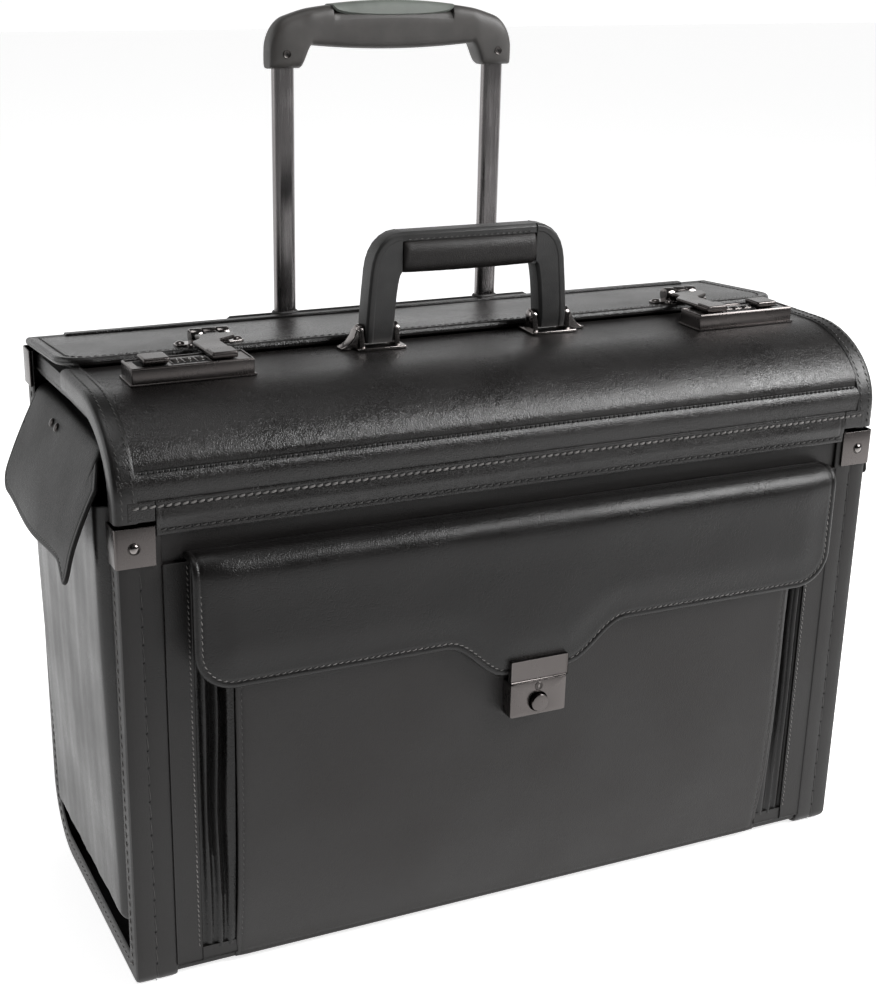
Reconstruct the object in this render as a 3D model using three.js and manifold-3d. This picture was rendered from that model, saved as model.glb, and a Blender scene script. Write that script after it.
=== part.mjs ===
// Pilot rolling flight case: a board case covered in leather-look vinyl, with a hinged front lid that
// carries two combination locks and the carry handle, a hinged rear lid with two hasps, a gusseted
// front pocket, a pouch on each end, a telescopic trolley handle and two rear wheels.
// Millimetres, +Z up, +X along the width, -Y towards the front. Z = 0 is the floor.
import * as THREE from 'three';
import { mergeVertices } from 'three/addons/utils/BufferGeometryUtils.js';
import Module from 'manifold-3d';

const wasm = await Module();
wasm.setup();

// ---------------------------------------------------------------- driving dimensions
const HALF_WIDTH = 270; // centre to the outer face of an edge band
const HALF_DEPTH = 108.5; // centre to the front or back face of an edge band
const CASE_SHIFT = 2.35; // moves the case back so that the whole object's box is centred on Y = 0
const GAP = 0.3; // clearance between touching pieces
const BOARD = 4; // thickness of the covered boards
const SKIN = 2; // thickness of an edge band on the front and back
const FOOT = 4; // thickness of an edge band under the case, where it is the foot
const BAND_WIDTH = 27; // edge band across the front, bottom and back
const BAND_LEG = 17; // edge band on the end face
const CORNER_Y = 61.5; // centre of the rounded bottom rear corner
const CORNER_Z = 47;
const SIDE_RECESS = 17; // end panels stand this far inside the edge bands
const BODY_TOP = 311.5; // top of the front board
const BACK_TOP = 369;
const PLATE = 24.5; // side of a metal corner plate
const PLATE_THICKNESS = 1.3;

const LID_BOTTOM = 313.5; // front lid: lower edge, start of its curve, and its flat top
const LID_SPRING = 327;
const LID_TOP = 377;
const LID_FLAT_Y = -44;
const LID_REAR = 4.6;
const FRONT_HINGE_Z = 312.3;
const FLANGE = 4; // thickness of the front lid's end flange
const FLANGE_DEPTH = 12;

const REAR_HINGE_Y = 105;
const REAR_HINGE_Z = 372.6;
const REAR_LID_LENGTH = 99;
const REAR_LID_THICKNESS = 4.8;
const REAR_LID_SLOPE = Math.atan(7.5 / 99); // the rear lid falls towards the back

const LOCK_X = 201; // centre of a combination lock
const LOCK_HALF = 37;
const LOCK_FRONT = -48;
const LOCK_BACK = -23.5;
const LOCK_TOP = 387.5;
const DIAL_OFFSETS = [-8, 0, 8];
const DIAL_RADIUS = 5.2;
const DIAL_WIDTH = 6;
const DIAL_Y = -36;
const DIAL_Z = 383.6;
const HASP_X = 180; // centre of a hasp's tip
const HASP_HINGE_SHIFT = 10.5; // both hasps are the same stamping, with the hinge to +X of the tip
const HASP_HINGE_Y = 22;
const HASP_HINGE_Z = 386.7;

const HANDLE_PIVOT_Y = -8;
const HANDLE_PIVOT_Z = 388;
const HANDLE_HALF = 74.5; // carry handle: outer half width at the foot
const HANDLE_TOP = 452.5;
const HANDLE_DEPTH = 16;

const POCKET_HALF = 204; // front pocket panel
const POCKET_FACE = -119.6;
const POCKET_TOP = 262;
const GUSSET_OUTER = 227.6;
const FLAP_HALF = 231;
const FLAP_FACE = -127.7;
const FLAP_THICKNESS = 3.7;
const FLAP_TOP = 290;
const FLAP_BOTTOM = 207.5;
const FLAP_DROP = 182;
const POCKET_LOCK_Z = 164.4;

const POUCH_FACE = 276; // end pouches
const POUCH_HALF = 86;
const POUCH_BOTTOM = 37;
const POUCH_TOP = 318;
const POUCH_HINGE_X = 266;
const POUCH_HINGE_Z = 346;
const POUCH_FLAP_TILT = 0.4; // radians that a pouch flap stands away from the end
const POUCH_FLAP_LENGTH = 70;

const WHEEL_RADIUS = 24;
const WHEEL_WIDTH = 23;
const WHEEL_X = 219.5;
const WHEEL_Y = 92;
const HOUSING_INNER = 196;
const HOUSING_OUTER = 242.6;
const HOUSING_Y = 59.8;
const HOUSING_Z = 58.1;

const TUBE_X = 80.5; // trolley tubes
const TUBE_Y = 118.5;
const TUBE_WALL = 1.2;
const INNER_TUBE = [16, 9];
const MIDDLE_TUBE = [19.2, 12.2];
const OUTER_TUBE = [22.4, 15.4];
const TROLLEY_HALF = 122;
const TROLLEY_BACK = 129;
const BEZEL_TOP = 373.6;
const GRIP_HALF = 92; // trolley grip
const GRIP_BOTTOM = 544;
const GRIP_TOP = 588;
const GRIP_DEPTH = 20;
const GRIP_LEG = 23;

// ---------------------------------------------------------------- materials
const finish = (color, roughness, metalness) =>
  new THREE.MeshStandardMaterial({ color, roughness, metalness });
const VINYL = finish(0x1c1a1b, 0.42, 0);
const POCKET_VINYL = finish(0x2b2827, 0.55, 0);
const NICKEL = finish(0x6a6260, 0.32, 1);
const ALUMINIUM = finish(0x8d8a8c, 0.3, 1);
const PLASTIC = finish(0x1a1919, 0.6, 0);
const INSERT = finish(0x5f6560, 0.65, 0);
const TYRE = finish(0x1b1b1c, 0.85, 0);
const NUMBER_WHEEL = finish(0x3b3836, 0.4, 0.8);

// ---------------------------------------------------------------- solids
function closed(geometry) {
  const bare = geometry.clone();
  bare.deleteAttribute('normal');
  bare.deleteAttribute('uv');
  return mergeVertices(bare, 1e-4);
}

function manifoldOf(geometry) {
  const merged = closed(geometry);
  return new wasm.Manifold(
    new wasm.Mesh({
      numProp: 3,
      vertProperties: Float32Array.from(merged.attributes.position.array),
      triVerts: Uint32Array.from(merged.index.array),
    }),
  );
}

function geometryOf(manifold) {
  const mesh = manifold.getMesh();
  const geometry = new THREE.BufferGeometry();
  geometry.setAttribute('position', new THREE.BufferAttribute(mesh.vertProperties, mesh.numProp));
  geometry.setIndex(new THREE.BufferAttribute(mesh.triVerts, 1));
  return geometry;
}

function combine(method, first, rest) {
  return geometryOf(rest.reduce((solid, tool) => solid[method](manifoldOf(tool)), manifoldOf(first)));
}

const join = (first, ...rest) => combine('add', first, rest);
const cut = (first, ...rest) => combine('subtract', first, rest);
const common = (first, ...rest) => combine('intersect', first, rest);

function block(x, y, z) {
  const geometry = new THREE.BoxGeometry(x[1] - x[0], y[1] - y[0], z[1] - z[0]);
  return geometry.translate((x[0] + x[1]) / 2, (y[0] + y[1]) / 2, (z[0] + z[1]) / 2);
}

function extrude(points, depth) {
  const shape = new THREE.Shape(points.map(([u, v]) => new THREE.Vector2(u, v)));
  return new THREE.ExtrudeGeometry(shape, { depth, bevelEnabled: false });
}

const basis = (u, v, w) => new THREE.Matrix4().makeBasis(u, v, w);
const X = new THREE.Vector3(1, 0, 0);
const Y = new THREE.Vector3(0, 1, 0);
const Z = new THREE.Vector3(0, 0, 1);

// a (y, z) outline swept from x0 to x1
function alongX(points, x0, x1) {
  return extrude(points, x1 - x0).applyMatrix4(basis(Y, Z, X)).translate(x0, 0, 0);
}

// an (x, z) outline swept from y0 to y1
function alongY(points, y0, y1) {
  return extrude(points, y1 - y0).applyMatrix4(basis(X, Z, Y.clone().negate())).translate(0, y1, 0);
}

// an (x, y) outline swept from z0 to z1
const alongZ = (points, z0, z1) => extrude(points, z1 - z0).translate(0, 0, z0);

function rod(axis, radius, from, to, segments = 20) {
  const geometry = new THREE.CylinderGeometry(radius, radius, to - from, segments);
  if (axis === 'x') geometry.rotateZ(Math.PI / 2).translate((from + to) / 2, 0, 0);
  if (axis === 'y') geometry.translate(0, (from + to) / 2, 0);
  if (axis === 'z') geometry.rotateX(Math.PI / 2).translate(0, 0, (from + to) / 2);
  return geometry;
}

// points on an ellipse arc, angles in degrees, both ends included
function arc(cx, cy, rx, ry, from, to, steps = 8) {
  return Array.from({ length: steps + 1 }, (_, i) => {
    const angle = THREE.MathUtils.degToRad(from + ((to - from) * i) / steps);
    return [cx + rx * Math.cos(angle), cy + ry * Math.sin(angle)];
  });
}

// a tube or bar section: a rectangle with rounded corners, centred on (cx, cy)
function roundedSection(cx, cy, width, depth, radius, steps = 4) {
  const x = width / 2 - radius;
  const y = depth / 2 - radius;
  return [
    ...arc(cx + x, cy + y, radius, radius, 0, 90, steps),
    ...arc(cx - x, cy + y, radius, radius, 90, 180, steps),
    ...arc(cx - x, cy - y, radius, radius, 180, 270, steps),
    ...arc(cx + x, cy - y, radius, radius, 270, 360, steps),
  ];
}

const mirrored = (geometry, side) => {
  if (side > 0) return geometry;
  const flipped = closed(geometry).scale(-1, 1, 1);
  const index = flipped.index.array;
  for (let i = 0; i < index.length; i += 3) [index[i], index[i + 1]] = [index[i + 1], index[i]];
  return flipped;
};

// ---------------------------------------------------------------- the object
const flightCase = new THREE.Group();
flightCase.position.y = CASE_SHIFT;

function add(name, geometry, material, parent = flightCase) {
  const mesh = new THREE.Mesh(geometry, material);
  mesh.name = name;
  parent.add(mesh);
  return mesh;
}

const SIDES = [['left', -1], ['right', 1]];

// ---------------------------------------------------------------- body boards
// the U-shaped (y, z) line of the body: down the front, under, round the rear corner, up the back
function bodyLine(insetY, insetZ, frontTop, backTop) {
  const radiusY = HALF_DEPTH - insetY - CORNER_Y;
  return [
    [-HALF_DEPTH + insetY, frontTop],
    [-HALF_DEPTH + insetY, insetZ],
    ...arc(CORNER_Y, CORNER_Z, radiusY, CORNER_Z - insetZ, -90, 0, 10),
    [HALF_DEPTH - insetY, backTop],
  ];
}

// the (y, z) line of the front lid: up the front face, over the curve, along the flat top
function lidLine(inset, bottom, end) {
  const radiusY = LID_FLAT_Y + HALF_DEPTH - inset;
  return [
    [-HALF_DEPTH + inset, bottom],
    ...arc(LID_FLAT_Y, LID_SPRING, radiusY, LID_TOP - LID_SPRING - inset, 180, 90, 10),
    [end, LID_TOP - inset],
  ];
}

function makeBoards() {
  const end = HALF_WIDTH - SKIN - GAP;
  const front = -HALF_DEPTH + SKIN + GAP;
  const back = HALF_DEPTH - SKIN - GAP;
  const floor = FOOT + GAP;
  const flapRoot = block([-FLAP_HALF, FLAP_HALF], [-118, front + 1], [FLAP_TOP + 1, FLAP_TOP + 5]);
  add('front_panel', join(block([-end, end], [front, front + BOARD], [floor, BODY_TOP]), flapRoot), VINYL);
  const bottomY = [front + BOARD + GAP, HOUSING_Y - GAP];
  add('bottom_panel', block([-end, end], bottomY, [floor, floor + BOARD]), VINYL);
  add('back_panel', block([-end, end], [back - BOARD, back], [HOUSING_Z + GAP, BACK_TOP]), VINYL);
  const corner = [
    [HOUSING_Y, floor],
    ...arc(CORNER_Y, CORNER_Z, back - CORNER_Y, CORNER_Z - floor, -90, 0, 8),
    [back, HOUSING_Z],
    [back - BOARD, HOUSING_Z],
    ...arc(CORNER_Y, CORNER_Z, back - BOARD - CORNER_Y, CORNER_Z - floor - BOARD, 0, -90, 8),
    [HOUSING_Y, floor + BOARD],
  ];
  const cornerEnd = HOUSING_INNER - 0.5;
  add('rear_corner_panel', alongX(corner, -cornerEnd, cornerEnd), VINYL);
}

// the end frame under the lids: a D-shaped bar; its inner line is where the end panel stops
const RIM_INSET = 6.4;
const RIM_DEPTH = 14;
const RIM_FOOT = 296;
const RIM_FALL = 3.6; // drop of the rim's top towards the back

function rimLine(inset, bottom) {
  const back = HALF_DEPTH - SKIN - BOARD - 2 * GAP;
  return [...lidLine(inset, bottom, LID_REAR), [back, LID_TOP - inset - RIM_FALL]];
}

function makeEnds() {
  const back = HALF_DEPTH - SKIN - GAP;
  const panelInner = HALF_WIDTH - SIDE_RECESS - BOARD;
  const panelLine = [
    [-HALF_DEPTH + RIM_INSET, FOOT + BOARD + 2 * GAP],
    [HOUSING_Y, FOOT + BOARD + 2 * GAP],
    [HOUSING_Y, FOOT + 2 * GAP],
    ...arc(CORNER_Y, CORNER_Z, back - GAP - CORNER_Y, CORNER_Z - FOOT - 2 * GAP, -90, 0, 8),
    [back - GAP, HOUSING_Z],
    [back - BOARD - GAP, HOUSING_Z],
    ...rimLine(RIM_INSET + RIM_DEPTH + GAP, RIM_FOOT - GAP).reverse(),
    [-HALF_DEPTH + RIM_INSET, RIM_FOOT - GAP],
  ];
  const rimRing = [
    ...rimLine(RIM_INSET, RIM_FOOT),
    ...rimLine(RIM_INSET + RIM_DEPTH, RIM_FOOT).reverse(),
  ];
  for (const [side, sign] of SIDES) {
    const panel = alongX(panelLine, panelInner, panelInner + BOARD);
    const root = block(
      [panelInner + 1, POUCH_HINGE_X - 0.4],
      [-72, POUCH_HALF],
      [POUCH_HINGE_Z - 1, POUCH_HINGE_Z + 2],
    );
    add(`${side}_side_panel`, mirrored(join(panel, root), sign), VINYL);
    const rim = alongX(rimRing, panelInner, HALF_WIDTH - BOARD);
    add(`${side}_side_rim`, mirrored(rim, sign), VINYL);
  }
}

function makeEdgeBands() {
  const legThickness = 1.8;
  const outer = bodyLine(0, 0, BODY_TOP - 0.5, BACK_TOP);
  const inner = bodyLine(SKIN, FOOT, BODY_TOP - 0.5, BACK_TOP);
  const legInner = bodyLine(BAND_LEG, BAND_LEG, BODY_TOP - 0.5, BACK_TOP);
  const skin = alongX([...outer, ...inner.reverse()], HALF_WIDTH - BAND_WIDTH, HALF_WIDTH);
  const leg = alongX([...outer, ...legInner.reverse()], HALF_WIDTH - legThickness, HALF_WIDTH);
  const band = join(skin, leg);
  for (const [side, sign] of SIDES) add(`${side}_edge_band`, mirrored(band, sign), VINYL);
}

// L-shaped corner plates with a domed rivet, at the top of each edge band
function makeCornerPlates() {
  const outX = HALF_WIDTH + GAP + PLATE_THICKNESS;
  const outY = HALF_DEPTH + GAP + PLATE_THICKNESS;
  const inX = HALF_WIDTH + GAP;
  const inY = HALF_DEPTH + GAP;
  const angle = [
    [outX - PLATE, outY], [outX - PLATE, inY], [inX, inY], [inX, HALF_DEPTH - BAND_LEG],
    [outX, HALF_DEPTH - BAND_LEG], [outX, outY],
  ].reverse();
  const plate = (top) => {
    const leaf = alongZ(angle, top - PLATE, top);
    const rivet = rod('y', 3.6, inY + 0.5, outY + 1.4, 16);
    return join(leaf, rivet.translate(outX - PLATE / 2 + 4, 0, top - PLATE / 2));
  };
  const flipY = (geometry) => {
    const turned = closed(geometry).rotateZ(Math.PI);
    return mirrored(turned, -1);
  };
  for (const [side, sign] of SIDES) {
    add(`front_${side}_corner_plate`, mirrored(flipY(plate(BODY_TOP - 0.5)), sign), NICKEL);
    add(`rear_${side}_corner_plate`, mirrored(plate(BACK_TOP), sign), NICKEL);
  }
}

// ---------------------------------------------------------------- front pocket
// the flap's lower edge drops to a tongue in the middle through an S-curve on each side
function flapOutline() {
  const radius = 25;
  const tongue = 24;
  const shoulder = 64;
  const waist = (tongue + shoulder) / 2;
  const half = waist - tongue;
  const mid = (FLAP_BOTTOM + FLAP_DROP) / 2;
  const reach = (FLAP_BOTTOM - FLAP_DROP) / 2;
  const right = [
    [tongue, FLAP_DROP],
    ...arc(tongue, mid, half, reach, -60, 0, 3),
    ...arc(shoulder, mid, half, reach, 180, 120, 3).slice(1),
    [shoulder, FLAP_BOTTOM],
    ...arc(FLAP_HALF - radius, FLAP_BOTTOM + radius, radius, radius, -90, 0, 6),
    [FLAP_HALF, FLAP_TOP],
  ];
  return [...right, ...right.map(([x, z]) => [-x, z]).reverse()];
}

function makeFrontPocket() {
  const front = -HALF_DEPTH + SKIN;
  const thickness = 3;
  const panelLine = [
    [front, 12], [-110, 12], [-117.2, 60], [POCKET_FACE, 140], [POCKET_FACE, POCKET_TOP],
    [POCKET_FACE + thickness, POCKET_TOP], [POCKET_FACE + thickness, 141], [-114.2, 61],
    [-109.4, 22], [front, 22],
  ];
  add('pocket_panel', alongX(panelLine, -POCKET_HALF, POCKET_HALF), POCKET_VINYL);

  // each gusset is one folded strip: a zigzag section that runs up the side of the pocket
  const folds = 3;
  const width = GUSSET_OUTER - POCKET_HALF - 0.4;
  const face = (i) => (i % 2 ? front - 2 : front - 5.5);
  const zigzag = Array.from({ length: 2 * folds + 1 }, (_, i) => [
    POCKET_HALF + 0.4 + (width * i) / (2 * folds), face(i),
  ]);
  const section = [...zigzag, ...zigzag.map(([x, y]) => [x, y + 1.8]).reverse()];
  const gusset = alongZ(section, 25, POCKET_TOP);
  for (const [side, sign] of SIDES) add(`${side}_pocket_gusset`, mirrored(gusset, sign), VINYL);

  const flap = alongY(flapOutline(), FLAP_FACE, FLAP_FACE + FLAP_THICKNESS);
  add('pocket_flap', flap, VINYL);
  const plateZ = [FLAP_DROP - 4.7, FLAP_DROP + 10.5];
  const plateY = [FLAP_FACE - GAP - 2.2, FLAP_FACE - GAP];
  add('pocket_hasp_plate', block([-21, 21], plateY, plateZ), NICKEL);

  const buttonZ = POCKET_LOCK_Z - 3;
  const caseY = [-131, POCKET_FACE - GAP];
  const shell = block([-20.5, 20.5], caseY, [POCKET_LOCK_Z - 12.4, POCKET_LOCK_Z + 12.4]);
  const bore = rod('y', 6.5, caseY[0] - 1, caseY[0] + 6.5, 24).translate(0, 0, buttonZ);
  const keyway = rod('y', 2.6, caseY[0] - 1, caseY[0] + 2, 16).translate(0, 0, buttonZ + 11);
  add('pocket_lock_case', cut(shell, bore, keyway), NICKEL);
  const button = rod('y', 6, caseY[0] - 3.2, caseY[0] + 4, 24).translate(0, 0, buttonZ);
  add('pocket_lock_button', button, NICKEL);
}

// ---------------------------------------------------------------- end pouches
function makePouches() {
  const back = HALF_WIDTH - SIDE_RECESS + GAP;
  const wall = 2.6;
  const taper = 4; // the pouch is thinner at its foot
  const outer = [
    [back, POUCH_BOTTOM], [POUCH_FACE - taper, POUCH_BOTTOM],
    [POUCH_FACE, POUCH_TOP], [back, POUCH_TOP],
  ];
  const inner = [
    [back - 1, POUCH_BOTTOM + wall], [POUCH_FACE - taper - wall, POUCH_BOTTOM + wall],
    [POUCH_FACE - wall, POUCH_TOP + 1], [back - 1, POUCH_TOP + 1],
  ];
  const pouch = cut(
    alongY(outer, -POUCH_HALF, POUCH_HALF),
    alongY(inner, -POUCH_HALF + wall, POUCH_HALF - wall),
  );
  const thickness = 3;
  const rootFront = -71; // the flap is cut back at its root, clear of the front lid's end
  const outline = [
    [rootFront, -1], [-POUCH_HALF - 1, -14], [-POUCH_HALF - 1, -POUCH_FLAP_LENGTH],
    [POUCH_HALF + 1, -POUCH_FLAP_LENGTH], [POUCH_HALF + 1, -1],
  ];
  const flap = alongX(outline, -thickness / 2, thickness / 2);
  flap.rotateY(-POUCH_FLAP_TILT).translate(POUCH_HINGE_X + 2, 0, POUCH_HINGE_Z);
  for (const [side, sign] of SIDES) {
    add(`${side}_pouch`, mirrored(pouch, sign), POCKET_VINYL);
    add(`${side}_pouch_flap`, mirrored(flap, sign), VINYL);
  }
}

// ---------------------------------------------------------------- front lid, locks and carry handle
function makeFrontLid() {
  const width = HALF_WIDTH + 0.5;
  const ring = (depth) => [
    ...lidLine(0, LID_BOTTOM, LID_REAR),
    ...lidLine(depth, LID_BOTTOM, LID_REAR).reverse(),
  ];
  const shell = alongX(ring(BOARD), -width, width);
  const flange = alongX(ring(FLANGE_DEPTH), width - FLANGE, width);
  add('front_lid', join(shell, flange, mirrored(flange, -1)), VINYL);
}

function makeLock(side, sign) {
  const inner = LOCK_X - LOCK_HALF;
  const outer = LOCK_X + LOCK_HALF;
  const base = LID_TOP + GAP;
  const body = [
    [LOCK_FRONT, base], [LOCK_FRONT, LOCK_TOP - 0.8], [LOCK_FRONT + 0.8, LOCK_TOP],
    [LOCK_BACK - 0.8, LOCK_TOP], [LOCK_BACK, LOCK_TOP - 0.8], [LOCK_BACK, base],
  ].reverse();
  const wells = DIAL_OFFSETS.map((offset) => {
    const centre = LOCK_X + offset;
    const half = DIAL_WIDTH / 2 + 0.35;
    return rod('x', DIAL_RADIUS + 0.5, centre - half, centre + half, 24).translate(0, DIAL_Y, DIAL_Z);
  });
  const slot = block([LOCK_X + 16, LOCK_X + 33], [-39, -29], [LOCK_TOP - 6.5, LOCK_TOP + 1]);
  const keep = block([HASP_X - 5, HASP_X + 5], [-39, LOCK_BACK + 1], [LOCK_TOP - 6.5, LOCK_TOP + 1]);
  const axle = rod('x', 1.1, LOCK_X - 12.5, LOCK_X + 12.5, 12).translate(0, DIAL_Y, DIAL_Z);
  const shell = join(cut(alongX(body, inner, outer), ...wells, slot, keep), axle);
  add(`${side}_lock_case`, mirrored(shell, sign), NICKEL);

  DIAL_OFFSETS.forEach((offset, i) => {
    const half = DIAL_WIDTH / 2;
    const dial = cut(
      rod('x', DIAL_RADIUS, -half, half, 20),
      rod('x', 1.5, -half - 1, half + 1, 12),
    ).translate(LOCK_X + offset, DIAL_Y, DIAL_Z);
    add(`${side}_dial_${i + 1}`, mirrored(dial, sign), NUMBER_WHEEL);
  });

  const cap = block([LOCK_X + 13.5, LOCK_X + 30], [-42, -26], [LOCK_TOP + GAP, LOCK_TOP + 4]);
  const stem = block([LOCK_X + 17, LOCK_X + 25], [-38, -30], [LOCK_TOP - 5, LOCK_TOP + 1]);
  add(`${side}_lock_slide`, mirrored(join(cap, stem), sign), NICKEL);
}

function makeCarryHandle() {
  const legInner = 54;
  const taper = 5; // the legs lean in towards the grip
  const front = HANDLE_PIVOT_Y - HANDLE_DEPTH / 2;
  const back = HANDLE_PIVOT_Y + HANDLE_DEPTH / 2;
  const foot = HANDLE_PIVOT_Z - 8;
  const gripUnder = HANDLE_TOP - 28.5;
  const padEnd = 50;
  const coreZ = [HANDLE_TOP - 20, HANDLE_TOP - 8];

  const halfOutline = [
    [padEnd, HANDLE_TOP],
    ...arc(HANDLE_HALF - taper - 14, HANDLE_TOP - 14, 14, 14, 90, 8, 5),
    [HANDLE_HALF, HANDLE_PIVOT_Z + 20], [HANDLE_HALF, foot], [legInner, foot],
    [legInner, HANDLE_PIVOT_Z + 20],
    ...arc(legInner - taper, gripUnder - 4, 3, 4, 0, 90, 3),
    [padEnd - 1, gripUnder], [padEnd - 1, coreZ[0]], [0, coreZ[0]], [0, coreZ[1]], [padEnd, coreZ[1]],
  ].reverse();
  const halfFrame = alongY(halfOutline, front, back);
  // the legs' feet are rounded about the pivot, so that they clear the bracket as they turn
  const legSection = [
    [front, HANDLE_TOP + 1], [front, HANDLE_PIVOT_Z],
    ...arc(HANDLE_PIVOT_Y, HANDLE_PIVOT_Z, HANDLE_DEPTH / 2, 8, 180, 360, 10),
    [back, HANDLE_TOP + 1],
  ];
  const envelope = alongX(legSection, -HANDLE_HALF - 1, HANDLE_HALF + 1);
  const hole = rod('x', 3, -HANDLE_HALF - 1, HANDLE_HALF + 1, 16);
  hole.translate(0, HANDLE_PIVOT_Y, HANDLE_PIVOT_Z);
  const whole = common(join(halfFrame, mirrored(halfFrame, -1)), envelope);
  add('handle_frame', cut(whole, hole), PLASTIC);

  const pad = alongX(
    roundedSection(HANDLE_PIVOT_Y, HANDLE_TOP - 14, 22, 27.4, 8),
    -padEnd + 1.4,
    padEnd - 1.4,
  );
  const core = block([-60, 60], [front - GAP, back + GAP], [coreZ[0] - GAP, coreZ[1] + GAP]);
  add('handle_grip', cut(pad, core), POCKET_VINYL);

  // bracket: a base plate, two ears and the pin between them, with a wing on the outside
  const base = LID_TOP + GAP;
  const earOuter = HANDLE_HALF + 4;
  const earInner = legInner - 4;
  const ear = (x0, x1) => {
    const line = [
      [HANDLE_PIVOT_Y - 7, base],
      [HANDLE_PIVOT_Y + 7, base],
      ...arc(HANDLE_PIVOT_Y, HANDLE_PIVOT_Z, 5, 5, 0, 180, 6),
    ];
    return alongX(line, x0, x1);
  };
  const wing = alongY(
    [[earOuter - 0.5, base], [91, base], [91, base + 1.6], [84, base + 4], [earOuter - 0.5, base + 11]],
    HANDLE_PIVOT_Y - 5,
    HANDLE_PIVOT_Y + 5,
  );
  const bracket = join(
    block([earInner - 3, earOuter + 3], [-20, 3.5], [base, base + 1.8]),
    ear(earInner, legInner - 0.4),
    ear(HANDLE_HALF + 0.4, earOuter),
    rod('x', 2.6, earInner - 1, earOuter + 1, 16).translate(0, HANDLE_PIVOT_Y, HANDLE_PIVOT_Z),
    wing,
  );
  for (const [side, sign] of SIDES) add(`${side}_handle_bracket`, mirrored(bracket, sign), NICKEL);
}

// ---------------------------------------------------------------- rear lid and hasps
function makeRearLid() {
  const tilted = new THREE.Group();
  tilted.position.set(0, REAR_HINGE_Y, REAR_HINGE_Z);
  tilted.rotation.x = -REAR_LID_SLOPE;
  flightCase.add(tilted);
  const half = HALF_WIDTH + 0.5;
  const radius = 22;
  const front = -REAR_LID_LENGTH - 1;
  const outline = [
    [half, -1], [-half, -1],
    ...arc(-half + radius, front + radius, radius, radius, 180, 270, 5),
    ...arc(half - radius, front + radius, radius, radius, 270, 360, 5),
  ];
  const lid = alongZ(outline, -REAR_LID_THICKNESS / 2, REAR_LID_THICKNESS / 2);
  add('rear_lid', lid, VINYL, tilted);

  const pivotY = HASP_HINGE_Y - REAR_HINGE_Y;
  const pivotZ = HASP_HINGE_Z - REAR_HINGE_Z;
  const cos = Math.cos(REAR_LID_SLOPE);
  const sin = Math.sin(REAR_LID_SLOPE);
  const localY = pivotY * cos - pivotZ * sin;
  const localZ = pivotY * sin + pivotZ * cos;
  const plateZ = REAR_LID_THICKNESS / 2 + GAP;
  for (const [side, sign] of SIDES) {
    const centre = sign * HASP_X + HASP_HINGE_SHIFT;
    const plate = block([centre - 23, centre + 23], [localY - 6, localY + 7], [plateZ, plateZ + 1.4]);
    const saddle = (x0, x1) =>
      join(
        rod('x', 3.6, x0, x1).translate(0, localY, localZ),
        block([x0, x1], [localY - 3, localY + 3], [plateZ + 0.5, localZ]),
      );
    const pin = rod('x', 1.4, centre - 13.5, centre + 13.5, 12).translate(0, localY, localZ);
    const base = join(plate, saddle(centre - 13, centre - 5), saddle(centre + 5, centre + 13), pin);
    add(`${side}_hasp_base`, base, NICKEL, tilted);
  }
}

function makeHasps() {
  const z = [LOCK_TOP + 0.4, LOCK_TOP + 3];
  for (const [side, sign] of SIDES) {
    const tip = sign * HASP_X;
    const hinge = tip + HASP_HINGE_SHIFT;
    const knuckle = rod('x', 3.6, hinge - 4.6, hinge + 4.6).translate(0, HASP_HINGE_Y, HASP_HINGE_Z);
    const outline = [
      [tip - 8.5, -43], [tip + 8.5, -43], [tip + 8.5, -8], [hinge + 12.5, 5], [hinge + 12.5, 16],
      [hinge + 4.6, 16], [hinge + 4.6, 22], [hinge - 4.6, 22], [hinge - 4.6, 16], [hinge - 12.5, 16],
      [hinge - 12.5, 5], [tip - 8.5, -8],
    ];
    const arm = alongZ(outline, z[0], z[1]);
    const lip = block([tip - 8.5, tip + 8.5], [-43, -30], [z[0], z[1] + 1.6]);
    const tongue = block([tip - 3.5, tip + 3.5], [-37, -31], [LOCK_TOP - 5.5, z[0] + 1]);
    const pinHole = rod('x', 1.8, hinge - 6, hinge + 6, 12).translate(0, HASP_HINGE_Y, HASP_HINGE_Z);
    add(`${side}_hasp`, cut(join(knuckle, arm, lip, tongue), pinHole), NICKEL);
  }
}

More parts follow.
